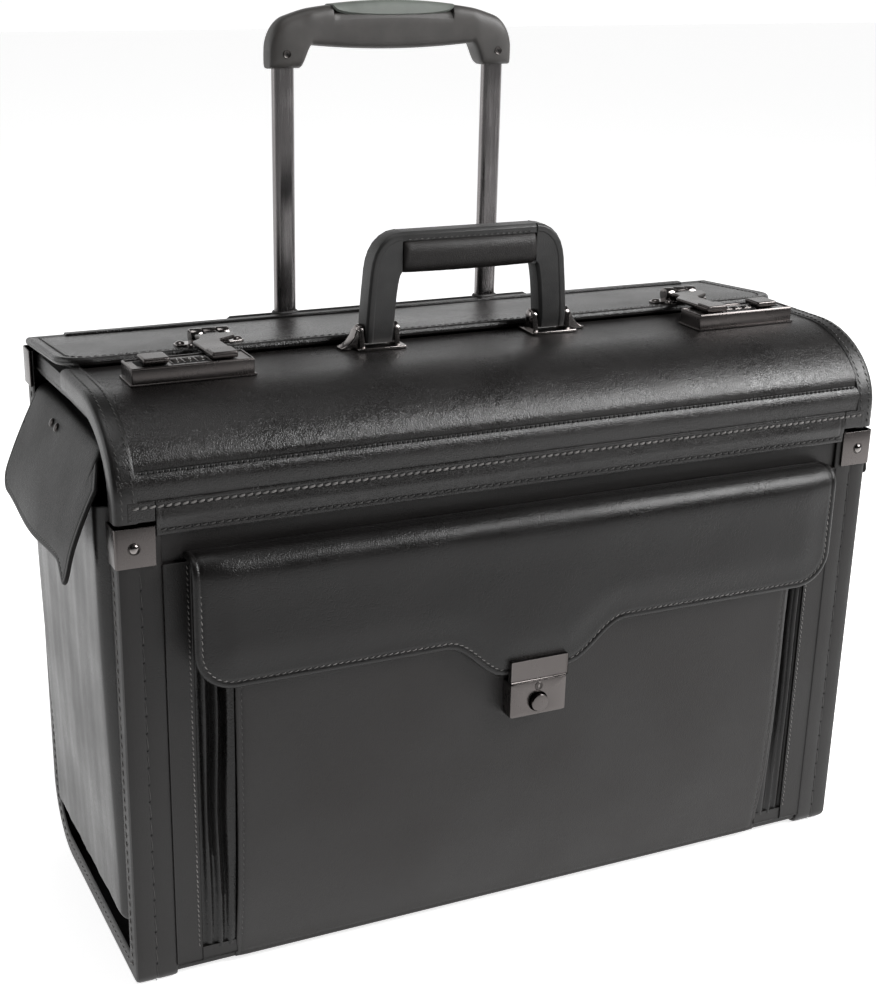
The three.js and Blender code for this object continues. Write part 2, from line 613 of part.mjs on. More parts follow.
// ---------------------------------------------------------------- wheels
function makeWheels() {
  const floor = FOOT + GAP;
  const back = HALF_DEPTH - SKIN - GAP;
  const line = [
    [HOUSING_Y, floor],
    ...arc(CORNER_Y, CORNER_Z, back - CORNER_Y, CORNER_Z - floor, -90, 0, 8),
    [back, HOUSING_Z],
    [HOUSING_Y, HOUSING_Z],
  ];
  const half = WHEEL_WIDTH / 2;
  const well = rod('x', WHEEL_RADIUS + 2.5, WHEEL_X - half - 1.5, WHEEL_X + half + 1.5, 32);
  const hole = rod('x', 3.3, HOUSING_INNER - 5, HOUSING_OUTER + 5, 16);
  const housing = cut(
    alongX(line, HOUSING_INNER, HOUSING_OUTER),
    well.translate(0, WHEEL_Y, WHEEL_RADIUS),
    hole.translate(0, WHEEL_Y, WHEEL_RADIUS),
  );
  const axle = rod('x', 3, HOUSING_INNER + 1, HOUSING_OUTER - 1, 16).translate(0, WHEEL_Y, WHEEL_RADIUS);
  const profile = [
    [3.4, -half], [9, -half], [10, -half + 2.5], [17, -half + 2.5], [18.5, -half + 1],
    [WHEEL_RADIUS - 3, -half], [WHEEL_RADIUS - 0.8, -half + 3.5], [WHEEL_RADIUS, -half + 8],
  ];
  const section = [...profile, ...profile.map(([r, h]) => [r, -h]).reverse()];
  const points = [...section, section[0]].map(([r, h]) => new THREE.Vector2(r, h));
  const wheel = new THREE.LatheGeometry(points, 32).rotateZ(-Math.PI / 2);
  wheel.translate(WHEEL_X, WHEEL_Y, WHEEL_RADIUS);
  for (const [side, sign] of SIDES) {
    add(`${side}_wheel_housing`, mirrored(housing, sign), PLASTIC);
    add(`${side}_axle`, mirrored(axle, sign), NICKEL);
    add(`${side}_wheel`, mirrored(closed(wheel), sign), TYRE);
  }
}

// ---------------------------------------------------------------- trolley
function tube(size, z0, z1, x) {
  const radius = size[1] / 2 - 0.1;
  const outer = alongZ(roundedSection(x, TUBE_Y, size[0], size[1], radius), z0, z1);
  const hollow = [size[0] - 2 * TUBE_WALL, size[1] - 2 * TUBE_WALL];
  const bore = roundedSection(x, TUBE_Y, hollow[0], hollow[1], hollow[1] / 2 - 0.1);
  return cut(outer, alongZ(bore, z0 - 1, z1 + 1));
}

function makeTrolley() {
  const wall = 2.5;
  const bottom = 12;
  const bezelBottom = 368.3;
  const inside = [HALF_DEPTH - SKIN, TROLLEY_BACK - wall];
  const tray = cut(
    block([-TROLLEY_HALF, TROLLEY_HALF], [HALF_DEPTH - SKIN, TROLLEY_BACK], [bottom, bezelBottom - GAP]),
    block([-TROLLEY_HALF + wall, TROLLEY_HALF - wall], [inside[0] - 1, inside[1]],
      [bottom + wall, bezelBottom + 1]),
  );
  add('trolley_housing', tray, VINYL);

  const holes = [-TUBE_X, TUBE_X].map((x) =>
    alongZ(roundedSection(x, TUBE_Y, MIDDLE_TUBE[0] + 0.8, MIDDLE_TUBE[1] + 0.8, 6.2), 360, 380),
  );
  const bezel = alongY(
    [
      [-TROLLEY_HALF - 1, bezelBottom], [TROLLEY_HALF + 1, bezelBottom],
      [TROLLEY_HALF + 1, bezelBottom + 2], [TROLLEY_HALF - 6, BEZEL_TOP], [-TROLLEY_HALF + 6, BEZEL_TOP],
      [-TROLLEY_HALF - 1, bezelBottom + 2],
    ],
    HALF_DEPTH - 0.2,
    TROLLEY_BACK + 0.5,
  );
  add('trolley_bezel', cut(bezel, ...holes), PLASTIC);

  const tubeBottom = bottom + wall + GAP;
  const bar = block([-TUBE_X, TUBE_X], [TUBE_Y - 5, TUBE_Y + 5], [tubeBottom, tubeBottom + 8]);
  const sleeves = [-TUBE_X, TUBE_X].map((x) => tube(OUTER_TUBE, tubeBottom, bezelBottom - GAP, x));
  const bores = [-TUBE_X, TUBE_X].map((x) =>
    alongZ(
      roundedSection(x, TUBE_Y, OUTER_TUBE[0] - 2 * TUBE_WALL, OUTER_TUBE[1] - 2 * TUBE_WALL, 6),
      tubeBottom - 1,
      tubeBottom + 10,
    ),
  );
  add('trolley_base_frame', join(cut(bar, ...bores), ...sleeves), ALUMINIUM);

  const innerTop = GRIP_BOTTOM + 12;
  for (const [side, sign] of SIDES) {
    add(`${side}_middle_tube`, tube(MIDDLE_TUBE, tubeBottom + 3, BEZEL_TOP - 0.4, sign * TUBE_X), ALUMINIUM);
    add(`${side}_inner_tube`, tube(INNER_TUBE, innerTop - 350, innerTop, sign * TUBE_X), ALUMINIUM);
  }
}

// the grip's (x, z) outline: two legs joined by a bar with an arched top and a slightly bellied underside
function gripOutline(rise) {
  const shoulder = 15;
  const sag = 3.5;
  const under = 556;
  const legInner = GRIP_HALF - GRIP_LEG;
  const bow = (half, middle, ends, steps) =>
    Array.from({ length: steps + 1 }, (_, i) => {
      const x = half - (2 * half * i) / steps;
      return [x, middle + (ends - middle) * (x / half) ** 2];
    });
  const topEnds = GRIP_TOP - 10 + rise;
  return [
    [GRIP_HALF, GRIP_BOTTOM],
    ...arc(GRIP_HALF - shoulder, topEnds - shoulder, shoulder, shoulder, 0, 80, 5),
    ...bow(GRIP_HALF - shoulder - 4, GRIP_TOP + rise, topEnds + 0.9, 12),
    ...arc(-GRIP_HALF + shoulder, topEnds - shoulder, shoulder, shoulder, 100, 180, 5),
    [-GRIP_HALF, GRIP_BOTTOM], [-legInner, GRIP_BOTTOM],
    ...bow(legInner - 4, under, under + sag, 8).reverse(),
    [legInner, GRIP_BOTTOM],
  ];
}

function makeTrolleyGrip() {
  const y = [TUBE_Y - GRIP_DEPTH / 2, TUBE_Y + GRIP_DEPTH / 2];
  const buttonHalf = 45;
  const body = alongY(gripOutline(0), y[0], y[1]);
  const sockets = [-TUBE_X, TUBE_X].map((x) =>
    alongZ(
      roundedSection(x, TUBE_Y, INNER_TUBE[0] + 0.6, INNER_TUBE[1] + 0.6, INNER_TUBE[1] / 2),
      GRIP_BOTTOM - 1,
      GRIP_BOTTOM + 12.4,
    ),
  );
  const well = block([-buttonHalf - 0.4, buttonHalf + 0.4], [y[0] + 3, y[1] - 3], [573, GRIP_TOP + 5]);
  add('trolley_grip', cut(body, ...sockets, well), PLASTIC);
  const button = common(
    alongY(gripOutline(0.6), y[0] + 3.4, y[1] - 3.4),
    block([-buttonHalf, buttonHalf], [y[0], y[1]], [577.6, GRIP_TOP + 5]),
  );
  add('trolley_button', button, INSERT);
}

makeBoards();
makeEnds();
makeEdgeBands();
makeCornerPlates();
makeFrontPocket();
makePouches();
makeFrontLid();
for (const [side, sign] of SIDES) makeLock(side, sign);
makeCarryHandle();
makeRearLid();
makeHasps();
makeWheels();
makeTrolley();
makeTrolleyGrip();

export default flightCase;
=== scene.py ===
"""Looks of the pilot rolling flight case: leather-look vinyl, stitching, dark nickel, trolley handle."""
import math

import bmesh
import bpy
import numpy as np
from mathutils import Matrix, Vector

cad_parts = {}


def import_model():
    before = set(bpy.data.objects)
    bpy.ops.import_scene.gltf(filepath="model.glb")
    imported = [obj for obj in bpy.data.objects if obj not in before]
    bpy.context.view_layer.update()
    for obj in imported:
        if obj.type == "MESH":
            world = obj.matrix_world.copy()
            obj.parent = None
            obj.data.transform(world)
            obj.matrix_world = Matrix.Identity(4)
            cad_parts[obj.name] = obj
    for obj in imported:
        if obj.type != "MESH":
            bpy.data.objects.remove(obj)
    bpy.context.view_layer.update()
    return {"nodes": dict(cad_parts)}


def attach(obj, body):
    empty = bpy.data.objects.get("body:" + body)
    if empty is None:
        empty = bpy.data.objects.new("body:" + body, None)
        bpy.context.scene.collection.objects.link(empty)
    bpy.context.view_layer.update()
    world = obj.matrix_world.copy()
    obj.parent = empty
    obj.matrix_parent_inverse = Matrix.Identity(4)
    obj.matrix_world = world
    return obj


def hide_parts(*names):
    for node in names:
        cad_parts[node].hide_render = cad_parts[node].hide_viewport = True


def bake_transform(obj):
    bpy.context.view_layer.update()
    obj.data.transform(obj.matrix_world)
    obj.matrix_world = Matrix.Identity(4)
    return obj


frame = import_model()

# Lengths below are millimetres in the CAD's own layout, before its shift of SHIFT along Y.
SHIFT = 2.35
HALF = 270.0
FRONT = -108.5
SIDES = (("left", -1), ("right", 1))


def metres(x, y, z):
    return Vector((x * 0.001, (y + SHIFT) * 0.001, z * 0.001))


# ------------------------------------------------------------------ shapes in two dimensions
def arc(cx, cy, rx, ry, start, end, steps=10):
    """Points on an ellipse arc, angles in degrees, both ends included."""
    angles = [math.radians(start + (end - start) * i / steps) for i in range(steps + 1)]
    return [(cx + rx * math.cos(a), cy + ry * math.sin(a)) for a in angles]


def counter_clockwise(poly):
    area = sum(a[0] * b[1] - b[0] * a[1] for a, b in zip(poly, poly[1:] + poly[:1]))
    return poly if area > 0 else poly[::-1]


def fillet(poly, radius, steps=4):
    """A polygon with rounded corners; radius is one number or one for each corner."""
    out = []
    for i, point in enumerate(poly):
        r = radius[i] if isinstance(radius, (list, tuple)) else radius
        b = Vector(point)
        u = Vector(poly[i - 1]) - b
        w = Vector(poly[(i + 1) % len(poly)]) - b
        angle = u.angle(w)
        if r <= 0 or angle > 3.1:
            out.append(tuple(b))
            continue
        reach = min(r / math.tan(angle / 2), 0.48 * u.length, 0.48 * w.length)
        r = reach * math.tan(angle / 2)
        centre = b + (u.normalized() + w.normalized()).normalized() * (r / math.sin(angle / 2))
        v0 = b + u.normalized() * reach - centre
        v1 = b + w.normalized() * reach - centre
        turn = v0.angle(v1)
        for k in range(steps + 1):
            t = k / steps
            p = centre + (v0 * math.sin((1 - t) * turn) + v1 * math.sin(t * turn)) / math.sin(turn)
            out.append(tuple(p))
    return out


def inset(poly, distance):
    """A counter-clockwise polygon moved inwards."""
    out = []
    for i, point in enumerate(poly):
        b = Vector(point)
        before = (b - Vector(poly[i - 1])).normalized()
        after = (Vector(poly[(i + 1) % len(poly)]) - b).normalized()
        n0 = Vector((-before.y, before.x))
        n1 = Vector((-after.y, after.x))
        m = (n0 + n1).normalized()
        out.append(tuple(b + m * (distance / max(0.35, m.dot(n0)))))
    return without_loops(poly, out)


def without_loops(poly, moved):
    """Draws each run of points that passed one another on the way in together to one point."""
    count = len(poly)
    turned_back = []
    for i in range(count):
        j = (i + 1) % count
        before = Vector(poly[j]) - Vector(poly[i])
        turned_back.append(before.dot(Vector(moved[j]) - Vector(moved[i])) < 0)
    if all(turned_back) or not any(turned_back):
        return moved
    start = turned_back.index(False) + 1
    run = []
    for step in range(count):
        i = (start + step) % count
        run.append(i)
        if not turned_back[i]:
            middle = tuple(sum(moved[k][axis] for k in run) / len(run) for axis in (0, 1))
            for k in run:
                moved[k] = middle
            run = []
    return moved


def box_outline(u0, u1, v0, v1, radius=0.0, steps=4):
    corners = [(u0, v0), (u1, v0), (u1, v1), (u0, v1)]
    return fillet(corners, radius, steps) if radius else corners


def smooth(t):
    t = min(1.0, max(0.0, t))
    return t * t * (3 - 2 * t)


def circle(d):
    """Height of a unit circle at distance d from its middle."""
    return math.sqrt(max(0.0, 1 - d * d))


def power(value, exponent):
    return math.copysign(abs(value) ** exponent, value)


# ------------------------------------------------------------------ meshes
def build(name, shape, material, body="case", sharp=None, replaces=None):
    """An object from shape's vertices in millimetres and its faces. It rides on body, if there is one.

    sharp is the angle in degrees that keeps an edge hard. Without it, the angle comes from the material."""
    own_slot, own_sharp = SURFACES.get(material.name, ("vinyl", 38))
    mesh = bpy.data.meshes.new(name)
    mesh.from_pydata([metres(*v) for v in shape[0]], [], shape[1])
    bm = bmesh.new()
    bm.from_mesh(mesh)
    bmesh.ops.remove_doubles(bm, verts=bm.verts, dist=2e-6)
    bmesh.ops.dissolve_degenerate(bm, edges=bm.edges, dist=1e-7)
    bmesh.ops.recalc_face_normals(bm, faces=bm.faces)
    bm.to_mesh(mesh)
    bm.free()
    mesh.shade_smooth()
    mesh.set_sharp_from_angle(angle=math.radians(sharp or own_sharp))
    mesh.materials.append(material)
    obj = bpy.data.objects.new(name, mesh)
    bpy.context.scene.collection.objects.link(obj)
    if body:
        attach(obj, body)
    if replaces:
        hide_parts(replaces)
    return obj


def loft(sections, loop=False):
    """Vertices and faces of a skin over sections that have the same number of points."""
    n = len(sections[0])
    m = len(sections)
    faces = []
    for i in range(m if loop else m - 1):
        a = i * n
        b = ((i + 1) % m) * n
        for j in range(n):
            k = (j + 1) % n
            faces.append((a + j, a + k, b + k, b + j))
    if not loop:
        faces.append(tuple(range(n))[::-1])
        faces.append(tuple((m - 1) * n + j for j in range(n)))
    return [p for section in sections for p in section], faces


def merged(*parts):
    verts, faces = [], []
    for v, f in parts:
        base = len(verts)
        verts += list(v)
        faces += [tuple(i + base for i in face) for face in f]
    return verts, faces


def plate(outline, w0, w1, bevel, place, steps=3):
    """An outline in (u, v) from w0 to w1 with rounded edges; place maps (u, v, w) to (x, y, z)."""
    poly = counter_clockwise([tuple(p) for p in outline])
    bevel = min(bevel, abs(w1 - w0) * 0.49)
    rings = []
    for k in range(steps + 1):
        a = math.radians(90 * k / steps)
        rings.append((bevel * (1 - math.cos(a)), bevel * (1 - math.sin(a))))
    sections = []
    last = rings[-1][0] + 0.35
    sections.append([place(u, v, w0) for u, v in inset(poly, last)])
    for off, depth in reversed(rings):
        sections.append([place(u, v, w0 + depth) for u, v in inset(poly, off)])
    for off, depth in rings:
        sections.append([place(u, v, w1 - depth) for u, v in inset(poly, off)])
    sections.append([place(u, v, w1) for u, v in inset(poly, last)])
    return loft(sections)


def flat_xz(u, v, w):
    return (u, w, v)


def flat_xy(u, v, w):
    return (u, v, w)


def flat_yz(u, v, w):
    return (w, u, v)


def revolve(profile, centre, axis, segments=28):
    """A solid of revolution: profile is (radius, height) pairs, axis 'x', 'y' or 'z' with its sign."""
    sign = -1 if axis.startswith("-") else 1
    letter = axis[-1]
    sections = []
    for r, h in profile:
        ring = []
        for i in range(segments):
            a = 2 * math.pi * i / segments
            c, s, d = r * math.cos(a), r * math.sin(a), sign * h
            offset = {"x": (d, c, s), "y": (c, d, s), "z": (c, s, d)}[letter]
            ring.append(tuple(p + q for p, q in zip(centre, offset)))
        sections.append(ring)
    return loft(sections)


def dome(radius, height):
    """Profile of a domed rivet head with a small skirt, for revolve."""
    points = [(radius, -0.6), (radius, 0.0), (radius - 0.16, 0.2)]
    points += [(radius * math.cos(a), 0.2 + height * math.sin(a)) for a in np.radians((20, 40, 60, 78))]
    return points + [(0.05, 0.2 + height)]


def spacing(low, high, fine, step):
    """Sample positions that are close together near both ends, by the distances in fine."""
    length = high - low
    fine = [d for d in fine if d < length * 0.42]
    inner = length - 2 * fine[-1]
    count = max(1, round(inner / step))
    middle = [fine[-1] + inner * i / count for i in range(1, count)]
    return [low + d for d in fine] + [low + d for d in middle] + [high - d for d in reversed(fine)]


HEM = [0, 0.25, 0.7, 1.3, 2.0, 2.8, 3.4, 3.9, 4.4, 5.0, 6.0, 7.5, 9.5, 12.5, 16.5, 21]


def waves(u, v, seed, amount):
    """Gentle unevenness of covered board, the same on every run."""
    a = np.sin(u * 0.041 + 1.7 * seed) * np.cos(v * 0.053 + 0.6 * seed)
    b = np.sin(u * 0.017 + v * 0.031 + 2.3 * seed)
    c = np.sin(u * 0.093 - v * 0.067 + 4.1 * seed) * 0.35
    return amount * (a + b + c) / 2.35


def panel(us, lower, upper, place, thick=3.0, edge=1.4, step=5.0, pillow=0.0, hem=0.0, groove=0.3, seed=1.0,
        wobble=0.25, fine=HEM, extra=None):
    """A sheet of covered leather over columns us, from lower to upper, numbers or functions of u.

    place maps (u, v, w) to (x, y, z), with w the height over the sheet's middle. edge is the radius of
    its border, hem the distance of the stitched groove from it, and pillow how far the middle swells."""
    lo, hi = (np.array([side(u) if callable(side) else side for u in us]) for side in (lower, upper))
    longest = float((hi - lo).max())
    fine = [d for d in fine if d < float((hi - lo).min()) * 0.42] or [0.0]
    count = max(2, round((longest - 2 * fine[-1]) / step))
    fractions = np.linspace(0, 1, count + 1)[1:-1]
    rows = [lo + d for d in fine]
    rows += [lo + fine[-1] + (hi - lo - 2 * fine[-1]) * f for f in fractions]
    rows += [hi - d for d in reversed(fine)]
    v = np.array(rows)
    u = np.broadcast_to(np.array(us), v.shape)
    border = list(zip(us, lo)) + list(zip([us[-1]] * len(rows), v[:, -1]))
    border += list(zip(us[::-1], hi[::-1])) + list(zip([us[0]] * len(rows), v[::-1, 0]))
    border = np.array(border)
    a = border
    b = np.roll(border, -1, axis=0)
    d = b - a
    length2 = (d * d).sum(1)
    keep = length2 > 1e-12
    a, d, length2 = a[keep], d[keep], length2[keep]
    p = np.stack([u.ravel(), v.ravel()], 1)
    best = np.full(len(p), 1e9)
    for start in range(0, len(a), 64):
        aa, dd, ll = a[start:start + 64], d[start:start + 64], length2[start:start + 64]
        rel = p[:, None, :] - aa[None]
        t = np.clip((rel * dd[None]).sum(2) / ll[None], 0, 1)
        gap = rel - t[..., None] * dd[None]
        best = np.minimum(best, np.sqrt((gap * gap).sum(2)).min(1))
    dist = best.reshape(v.shape)
    ratio = np.clip(dist / edge, 0, 1)
    round_off = np.sqrt(np.clip(1 - (1 - ratio) ** 2, 0, 1))
    inside = np.clip((dist - hem - 1.5) / 22.0, 0, 1)
    swell = pillow * inside * inside * (3 - 2 * inside)
    front = thick / 2 * round_off + swell
    if hem:
        front = front - groove * np.exp(-((dist - hem) / 0.9) ** 2)
    fade = np.clip(dist / 14.0, 0, 1)
    front = front + waves(u, v, seed, wobble) * fade
    if extra is not None:
        front = front + extra(u, v, dist)
    back = -thick / 2 * round_off
    nr, nc = v.shape
    verts = [place(u[i, j], v[i, j], front[i, j]) for i in range(nr) for j in range(nc)]
    verts += [place(u[i, j], v[i, j], back[i, j]) for i in range(nr) for j in range(nc)]
    faces = []
    for i in range(nr - 1):
        for j in range(nc - 1):
            q = i * nc + j
            faces.append((q, q + 1, q + nc + 1, q + nc))
            q += nr * nc
            faces.append((q, q + nc, q + nc + 1, q + 1))
    return verts, faces


# ------------------------------------------------------------------ stitching
def resample(points, pitch):
    """Points every pitch along a line, with the local direction."""
    pts = [Vector(p) for p in points]
    lengths = [0.0]
    for a, b in zip(pts, pts[1:]):
        lengths.append(lengths[-1] + (b - a).length)
    count = max(1, int(lengths[-1] / pitch))
    out = []
    k = 0
    for i in range(count):
        s = (i + 0.5) * lengths[-1] / count
        while lengths[k + 1] < s:
            k += 1
        t = (s - lengths[k]) / max(1e-9, lengths[k + 1] - lengths[k])
        out.append((pts[k].lerp(pts[k + 1], t), (pts[k + 1] - pts[k]).normalized()))
    return out


def thread_row(points, normal, pitch=5.0, length=3.6, radius=0.42, lift=0.15):
    """Thread stitches along a line on a surface; normal is a vector or a function of the point."""
    verts, faces = [], []
    for centre, along in resample(points, pitch):
        n = Vector(normal(centre) if callable(normal) else normal).normalized()
        side = n.cross(along).normalized()
        tilt = side * 0.4
        base = len(verts)
        for s, r, h in ((-1, 0.45, -0.7), (-0.75, 0.95, -0.05), (0, 1.1, 0.5), (0.75, 0.95, -0.05),
                (1, 0.45, -0.7)):
            p = centre + along * (s * length / 2) + n * (h * radius + lift) + tilt * s
            for k in range(6):
                a = math.pi * k / 3
                verts.append(tuple(p + (side * math.cos(a) + n * math.sin(a)) * radius * r))
        for ring in range(4):
            for k in range(6):
                a = base + ring * 6
                faces.append((a + k, a + (k + 1) % 6, a + 6 + (k + 1) % 6, a + 6 + k))
        faces.append(tuple(base + k for k in range(6))[::-1])
        faces.append(tuple(base + 24 + k for k in range(6)))
    return verts, faces


def hole_shade_row(points, normal, pitch, radius=0.5):
    """Painted shade of needle holes: beads, made near-black, between the stitches of a thread row with the
    same line and pitch.
    """
    spots = resample(points, pitch)
    parts = []
    for (a, _), (b, _) in zip(spots, spots[1:]):
        p = a.lerp(b, 0.5)
        n = Vector(normal(p) if callable(normal) else normal).normalized()
        parts.append(bead(p + n * 0.05, radius))
    return merged(*parts)


def bead(p, radius):
    """A tiny ball, for the painted shade of a needle hole."""
    sections = []
    for d in (-70, -25, 25, 70):
        a = math.radians(d)
        ring = []
        for k in range(6):
            b = math.pi * k / 3
            ring.append((p.x + radius * math.cos(a) * math.cos(b), p.y + radius * math.cos(a) * math.sin(b),
                p.z + radius * math.sin(a)))
        sections.append(ring)
    return loft(sections)


def offset_line(points, side_of, distance):
    """Points of a 2D line moved sideways (side_of +1 is to the left of the line's direction)."""
    out = []
    for i, p in enumerate(points):
        a = Vector(points[max(0, i - 1)])
        b = Vector(points[min(len(points) - 1, i + 1)])
        d = (b - a).normalized()
        out.append((p[0] - d.y * distance * side_of, p[1] + d.x * distance * side_of))
    return out


# ------------------------------------------------------------------ materials
class Shader:
    """A Principled material built from a few nodes."""

    def __init__(self, name, **values):
        self.mat = bpy.data.materials.new(name)
        self.mat.use_nodes = True
        self.nodes = self.mat.node_tree.nodes
        self.nodes.clear()
        out = self.nodes.new("ShaderNodeOutputMaterial")
        self.bsdf = self.nodes.new("ShaderNodeBsdfPrincipled")
        self.mat.node_tree.links.new(self.bsdf.outputs["BSDF"], out.inputs["Surface"])
        for key, value in values.items():
            self.bsdf.inputs[key.replace("_", " ").title().replace("Ior", "IOR")].default_value = value
        self.coord = self.nodes.new("ShaderNodeTexCoord").outputs["Object"]

    def link(self, source, target):
        self.mat.node_tree.links.new(source, target)

    def node(self, kind, inputs=(), **settings):
        node = self.nodes.new(kind)
        for key, value in settings.items():
            setattr(node, key, value)
        for key, value in dict(inputs).items():
            if isinstance(value, bpy.types.NodeSocket):
                self.link(value, node.inputs[key])
            else:
                node.inputs[key].default_value = value
        return node

    def stretched(self, x, y, z):
        return self.node("ShaderNodeMapping", {"Vector": self.coord, "Scale": (x, y, z)}).outputs[0]

    def noise(self, scale, detail=4.0, rough=0.55, distortion=0.0, vector=None):
        values = {"Vector": vector or self.coord, "Scale": scale, "Detail": detail, "Roughness": rough,
            "Distortion": distortion}
        return self.node("ShaderNodeTexNoise", values).outputs["Fac"]

    def cells(self, scale, feature="DISTANCE_TO_EDGE", vector=None):
        values = {"Vector": vector or self.coord, "Scale": scale}
        return self.node("ShaderNodeTexVoronoi", values, feature=feature).outputs["Distance"]

    def remap(self, value, a, b, c, d):
        values = {"Value": value, 1: a, 2: b, 3: c, 4: d}
        return self.node("ShaderNodeMapRange", values).outputs[0]

    def math(self, operation, a, b):
        return self.node("ShaderNodeMath", {0: a, 1: b}, operation=operation).outputs[0]

    def mix(self, fac, a, b):
        node = self.node("ShaderNodeMix", data_type="RGBA")
        self.link(fac, node.inputs["Factor"])
        node.inputs[6].default_value = (*a, 1)
        node.inputs[7].default_value = (*b, 1)
        return node.outputs[2]

    def colour(self, socket):
        self.link(socket, self.bsdf.inputs["Base Color"])

    def rough(self, socket):
        self.link(socket, self.bsdf.inputs["Roughness"])

    def bump(self, *layers):
        """layers are (height socket, strength, distance in metres), coarse first."""
        normal = None
        for height, strength, distance in layers:
            values = {"Height": height, "Strength": strength, "Distance": distance}
            if normal is not None:
                values["Normal"] = normal
            normal = self.node("ShaderNodeBump", values).outputs["Normal"]
        self.link(normal, self.bsdf.inputs["Normal"])


def leather(name, dark, light, rough, grain=1.0, crease=1.0, coat=0.0, specular=0.5):
    """Leather-look vinyl: creases of a few millimetres, pebbles between them, and a fine tooth."""
    s = Shader(name, roughness=rough, coat_weight=coat, coat_roughness=0.25, specular_ior_level=specular)
    big = s.noise(14, 3)
    s.colour(s.mix(s.remap(big, 0.3, 0.7, 0, 1), dark, light))
    drift = s.node("ShaderNodeTexNoise", {"Vector": s.coord, "Scale": 160.0,
        "Detail": 3.0}).outputs["Color"]
    shift = s.node("ShaderNodeVectorMath", {0: drift, 1: (0.005, 0.005, 0.005)},
        operation="MULTIPLY").outputs[0]
    moved = s.node("ShaderNodeVectorMath", {0: s.coord, 1: shift}, operation="ADD").outputs[0]
    pebbles = s.remap(s.cells(760, vector=moved), 0.0, 0.25, 0, 1)
    creases = s.remap(s.cells(300, vector=moved), 0.0, 0.1, 0, 1)
    fine = s.noise(1500, 4, 0.6)
    patch = s.remap(s.noise(38, 3), 0.38, 0.66, 0.1, 1)
    shine = s.math("ADD", s.remap(fine, 0.3, 0.7, -0.06, 0.08),
        s.remap(big, 0.3, 0.7, rough - 0.07, rough + 0.07))
    s.rough(shine)
    s.bump((s.math("MULTIPLY", creases, patch), 0.22 * crease, 0.0005), (pebbles, 0.17 * grain, 0.0003),
        (fine, 0.28 * grain, 0.0002))
    return s.mat


def metal(name, tone, rough, brushed=(1, 1, 0.15), wear=0.04, bump=0.03):
    s = Shader(name, metallic=1.0, roughness=rough)
    streaks = s.noise(900, 3, 0.6, vector=s.stretched(*brushed))
    smudge = s.noise(38, 3)
    light = tuple(min(1.0, c * 1.1) for c in tone)
    s.colour(s.mix(s.remap(smudge, 0.3, 0.7, 0, 1), tone, light))
    s.rough(s.math("ADD", s.remap(streaks, 0.3, 0.7, -wear, wear),
        s.remap(smudge, 0.3, 0.7, rough - 0.04, rough + 0.05)))
    s.bump((streaks, bump, 0.0001))
    return s.mat


def plastic(name, dark, light, rough, grain=0.3, scale=1600):
    s = Shader(name, roughness=rough)
    fine = s.noise(scale, 3, 0.6)
    s.colour(s.mix(s.remap(s.noise(60, 3), 0.35, 0.65, 0, 1), dark, light))
    s.rough(s.remap(fine, 0.3, 0.7, rough - 0.06, rough + 0.06))
    s.bump((fine, grain, 0.0002))
    return s.mat


def fabric(name, dark, light, rough=0.85, scale=1100):
    s = Shader(name, roughness=rough, sheen_weight=0.3)
    wave = s.node("ShaderNodeTexWave", {"Vector": s.coord, "Scale": scale / 3, "Distortion": 0.6},
        bands_direction="X").outputs["Fac"]
    weft = s.node("ShaderNodeTexWave", {"Vector": s.coord, "Scale": scale / 3, "Distortion": 0.6},
        bands_direction="Z").outputs["Fac"]
    weave = s.math("MULTIPLY", wave, weft)
    s.colour(s.mix(weave, dark, light))
    s.bump((weave, 0.4, 0.0003))
    return s.mat


VINYL = leather("vinyl_black", (0.0040, 0.0036, 0.0035), (0.0068, 0.0061, 0.006), 0.32, specular=0.29)
LID_VINYL = leather("vinyl_black_lid", (0.0065, 0.0058, 0.0056), (0.011, 0.0098, 0.0095), 0.3, 1.6, 0.55,
    specular=0.46)
BOARD_VINYL = leather("vinyl_black_board", (0.0065, 0.0056, 0.0053), (0.0092, 0.008, 0.0076), 0.44, 0.9,
    0.5, specular=0.35)
POCKET_VINYL = leather("vinyl_pocket", (0.0075, 0.0063, 0.0060), (0.0105, 0.0088, 0.0083), 0.46, 1.4, 0.4,
    specular=0.35)
POUCH_VINYL = leather("vinyl_pouch", (0.008, 0.0074, 0.0072), (0.012, 0.011, 0.0107), 0.33, 0.8, 0.5,
    specular=0.45)
POUCH_FLAP_VINYL = leather("vinyl_pouch_flap", (0.0040, 0.0036, 0.0035), (0.0075, 0.0067, 0.0065), 0.42,
    specular=0.2)
BINDING = leather("vinyl_binding", (0.0055, 0.005, 0.0049), (0.009, 0.0082, 0.008), 0.36, 0.8, 0.8)
NICKEL = metal("nickel_dark", (0.095, 0.0865, 0.084), 0.27, wear=0.012, bump=0.004)
NICKEL_BRIGHT = metal("nickel_polished", (0.2, 0.185, 0.18), 0.17, wear=0.03, bump=0.015)
BLACK_NICKEL = metal("nickel_black", (0.06, 0.055, 0.053), 0.34)
ALUMINIUM = metal("aluminium_satin", (0.24, 0.228, 0.228), 0.24, (1, 1, 0.02), 0.08, 0.06)
PLASTIC = plastic("plastic_black", (0.012, 0.011, 0.0108), (0.018, 0.0168, 0.016), 0.5)
GRIP_PLASTIC = plastic("plastic_grip", (0.042, 0.039, 0.037), (0.056, 0.052, 0.049), 0.5, 0.35)
HANDLE_PLASTIC = plastic("plastic_handle", (0.012, 0.0118, 0.0118), (0.022, 0.0214, 0.021), 0.42, 0.7, 1000)
INSERT = plastic("insert_grey_green", (0.115, 0.128, 0.114), (0.14, 0.153, 0.138), 0.6, 0.25)
RUBBER = plastic("tyre_rubber", (0.012, 0.012, 0.0125), (0.02, 0.02, 0.02), 0.75, 0.4)
HUB = plastic("wheel_hub", (0.05, 0.05, 0.052), (0.07, 0.07, 0.072), 0.45, 0.2)
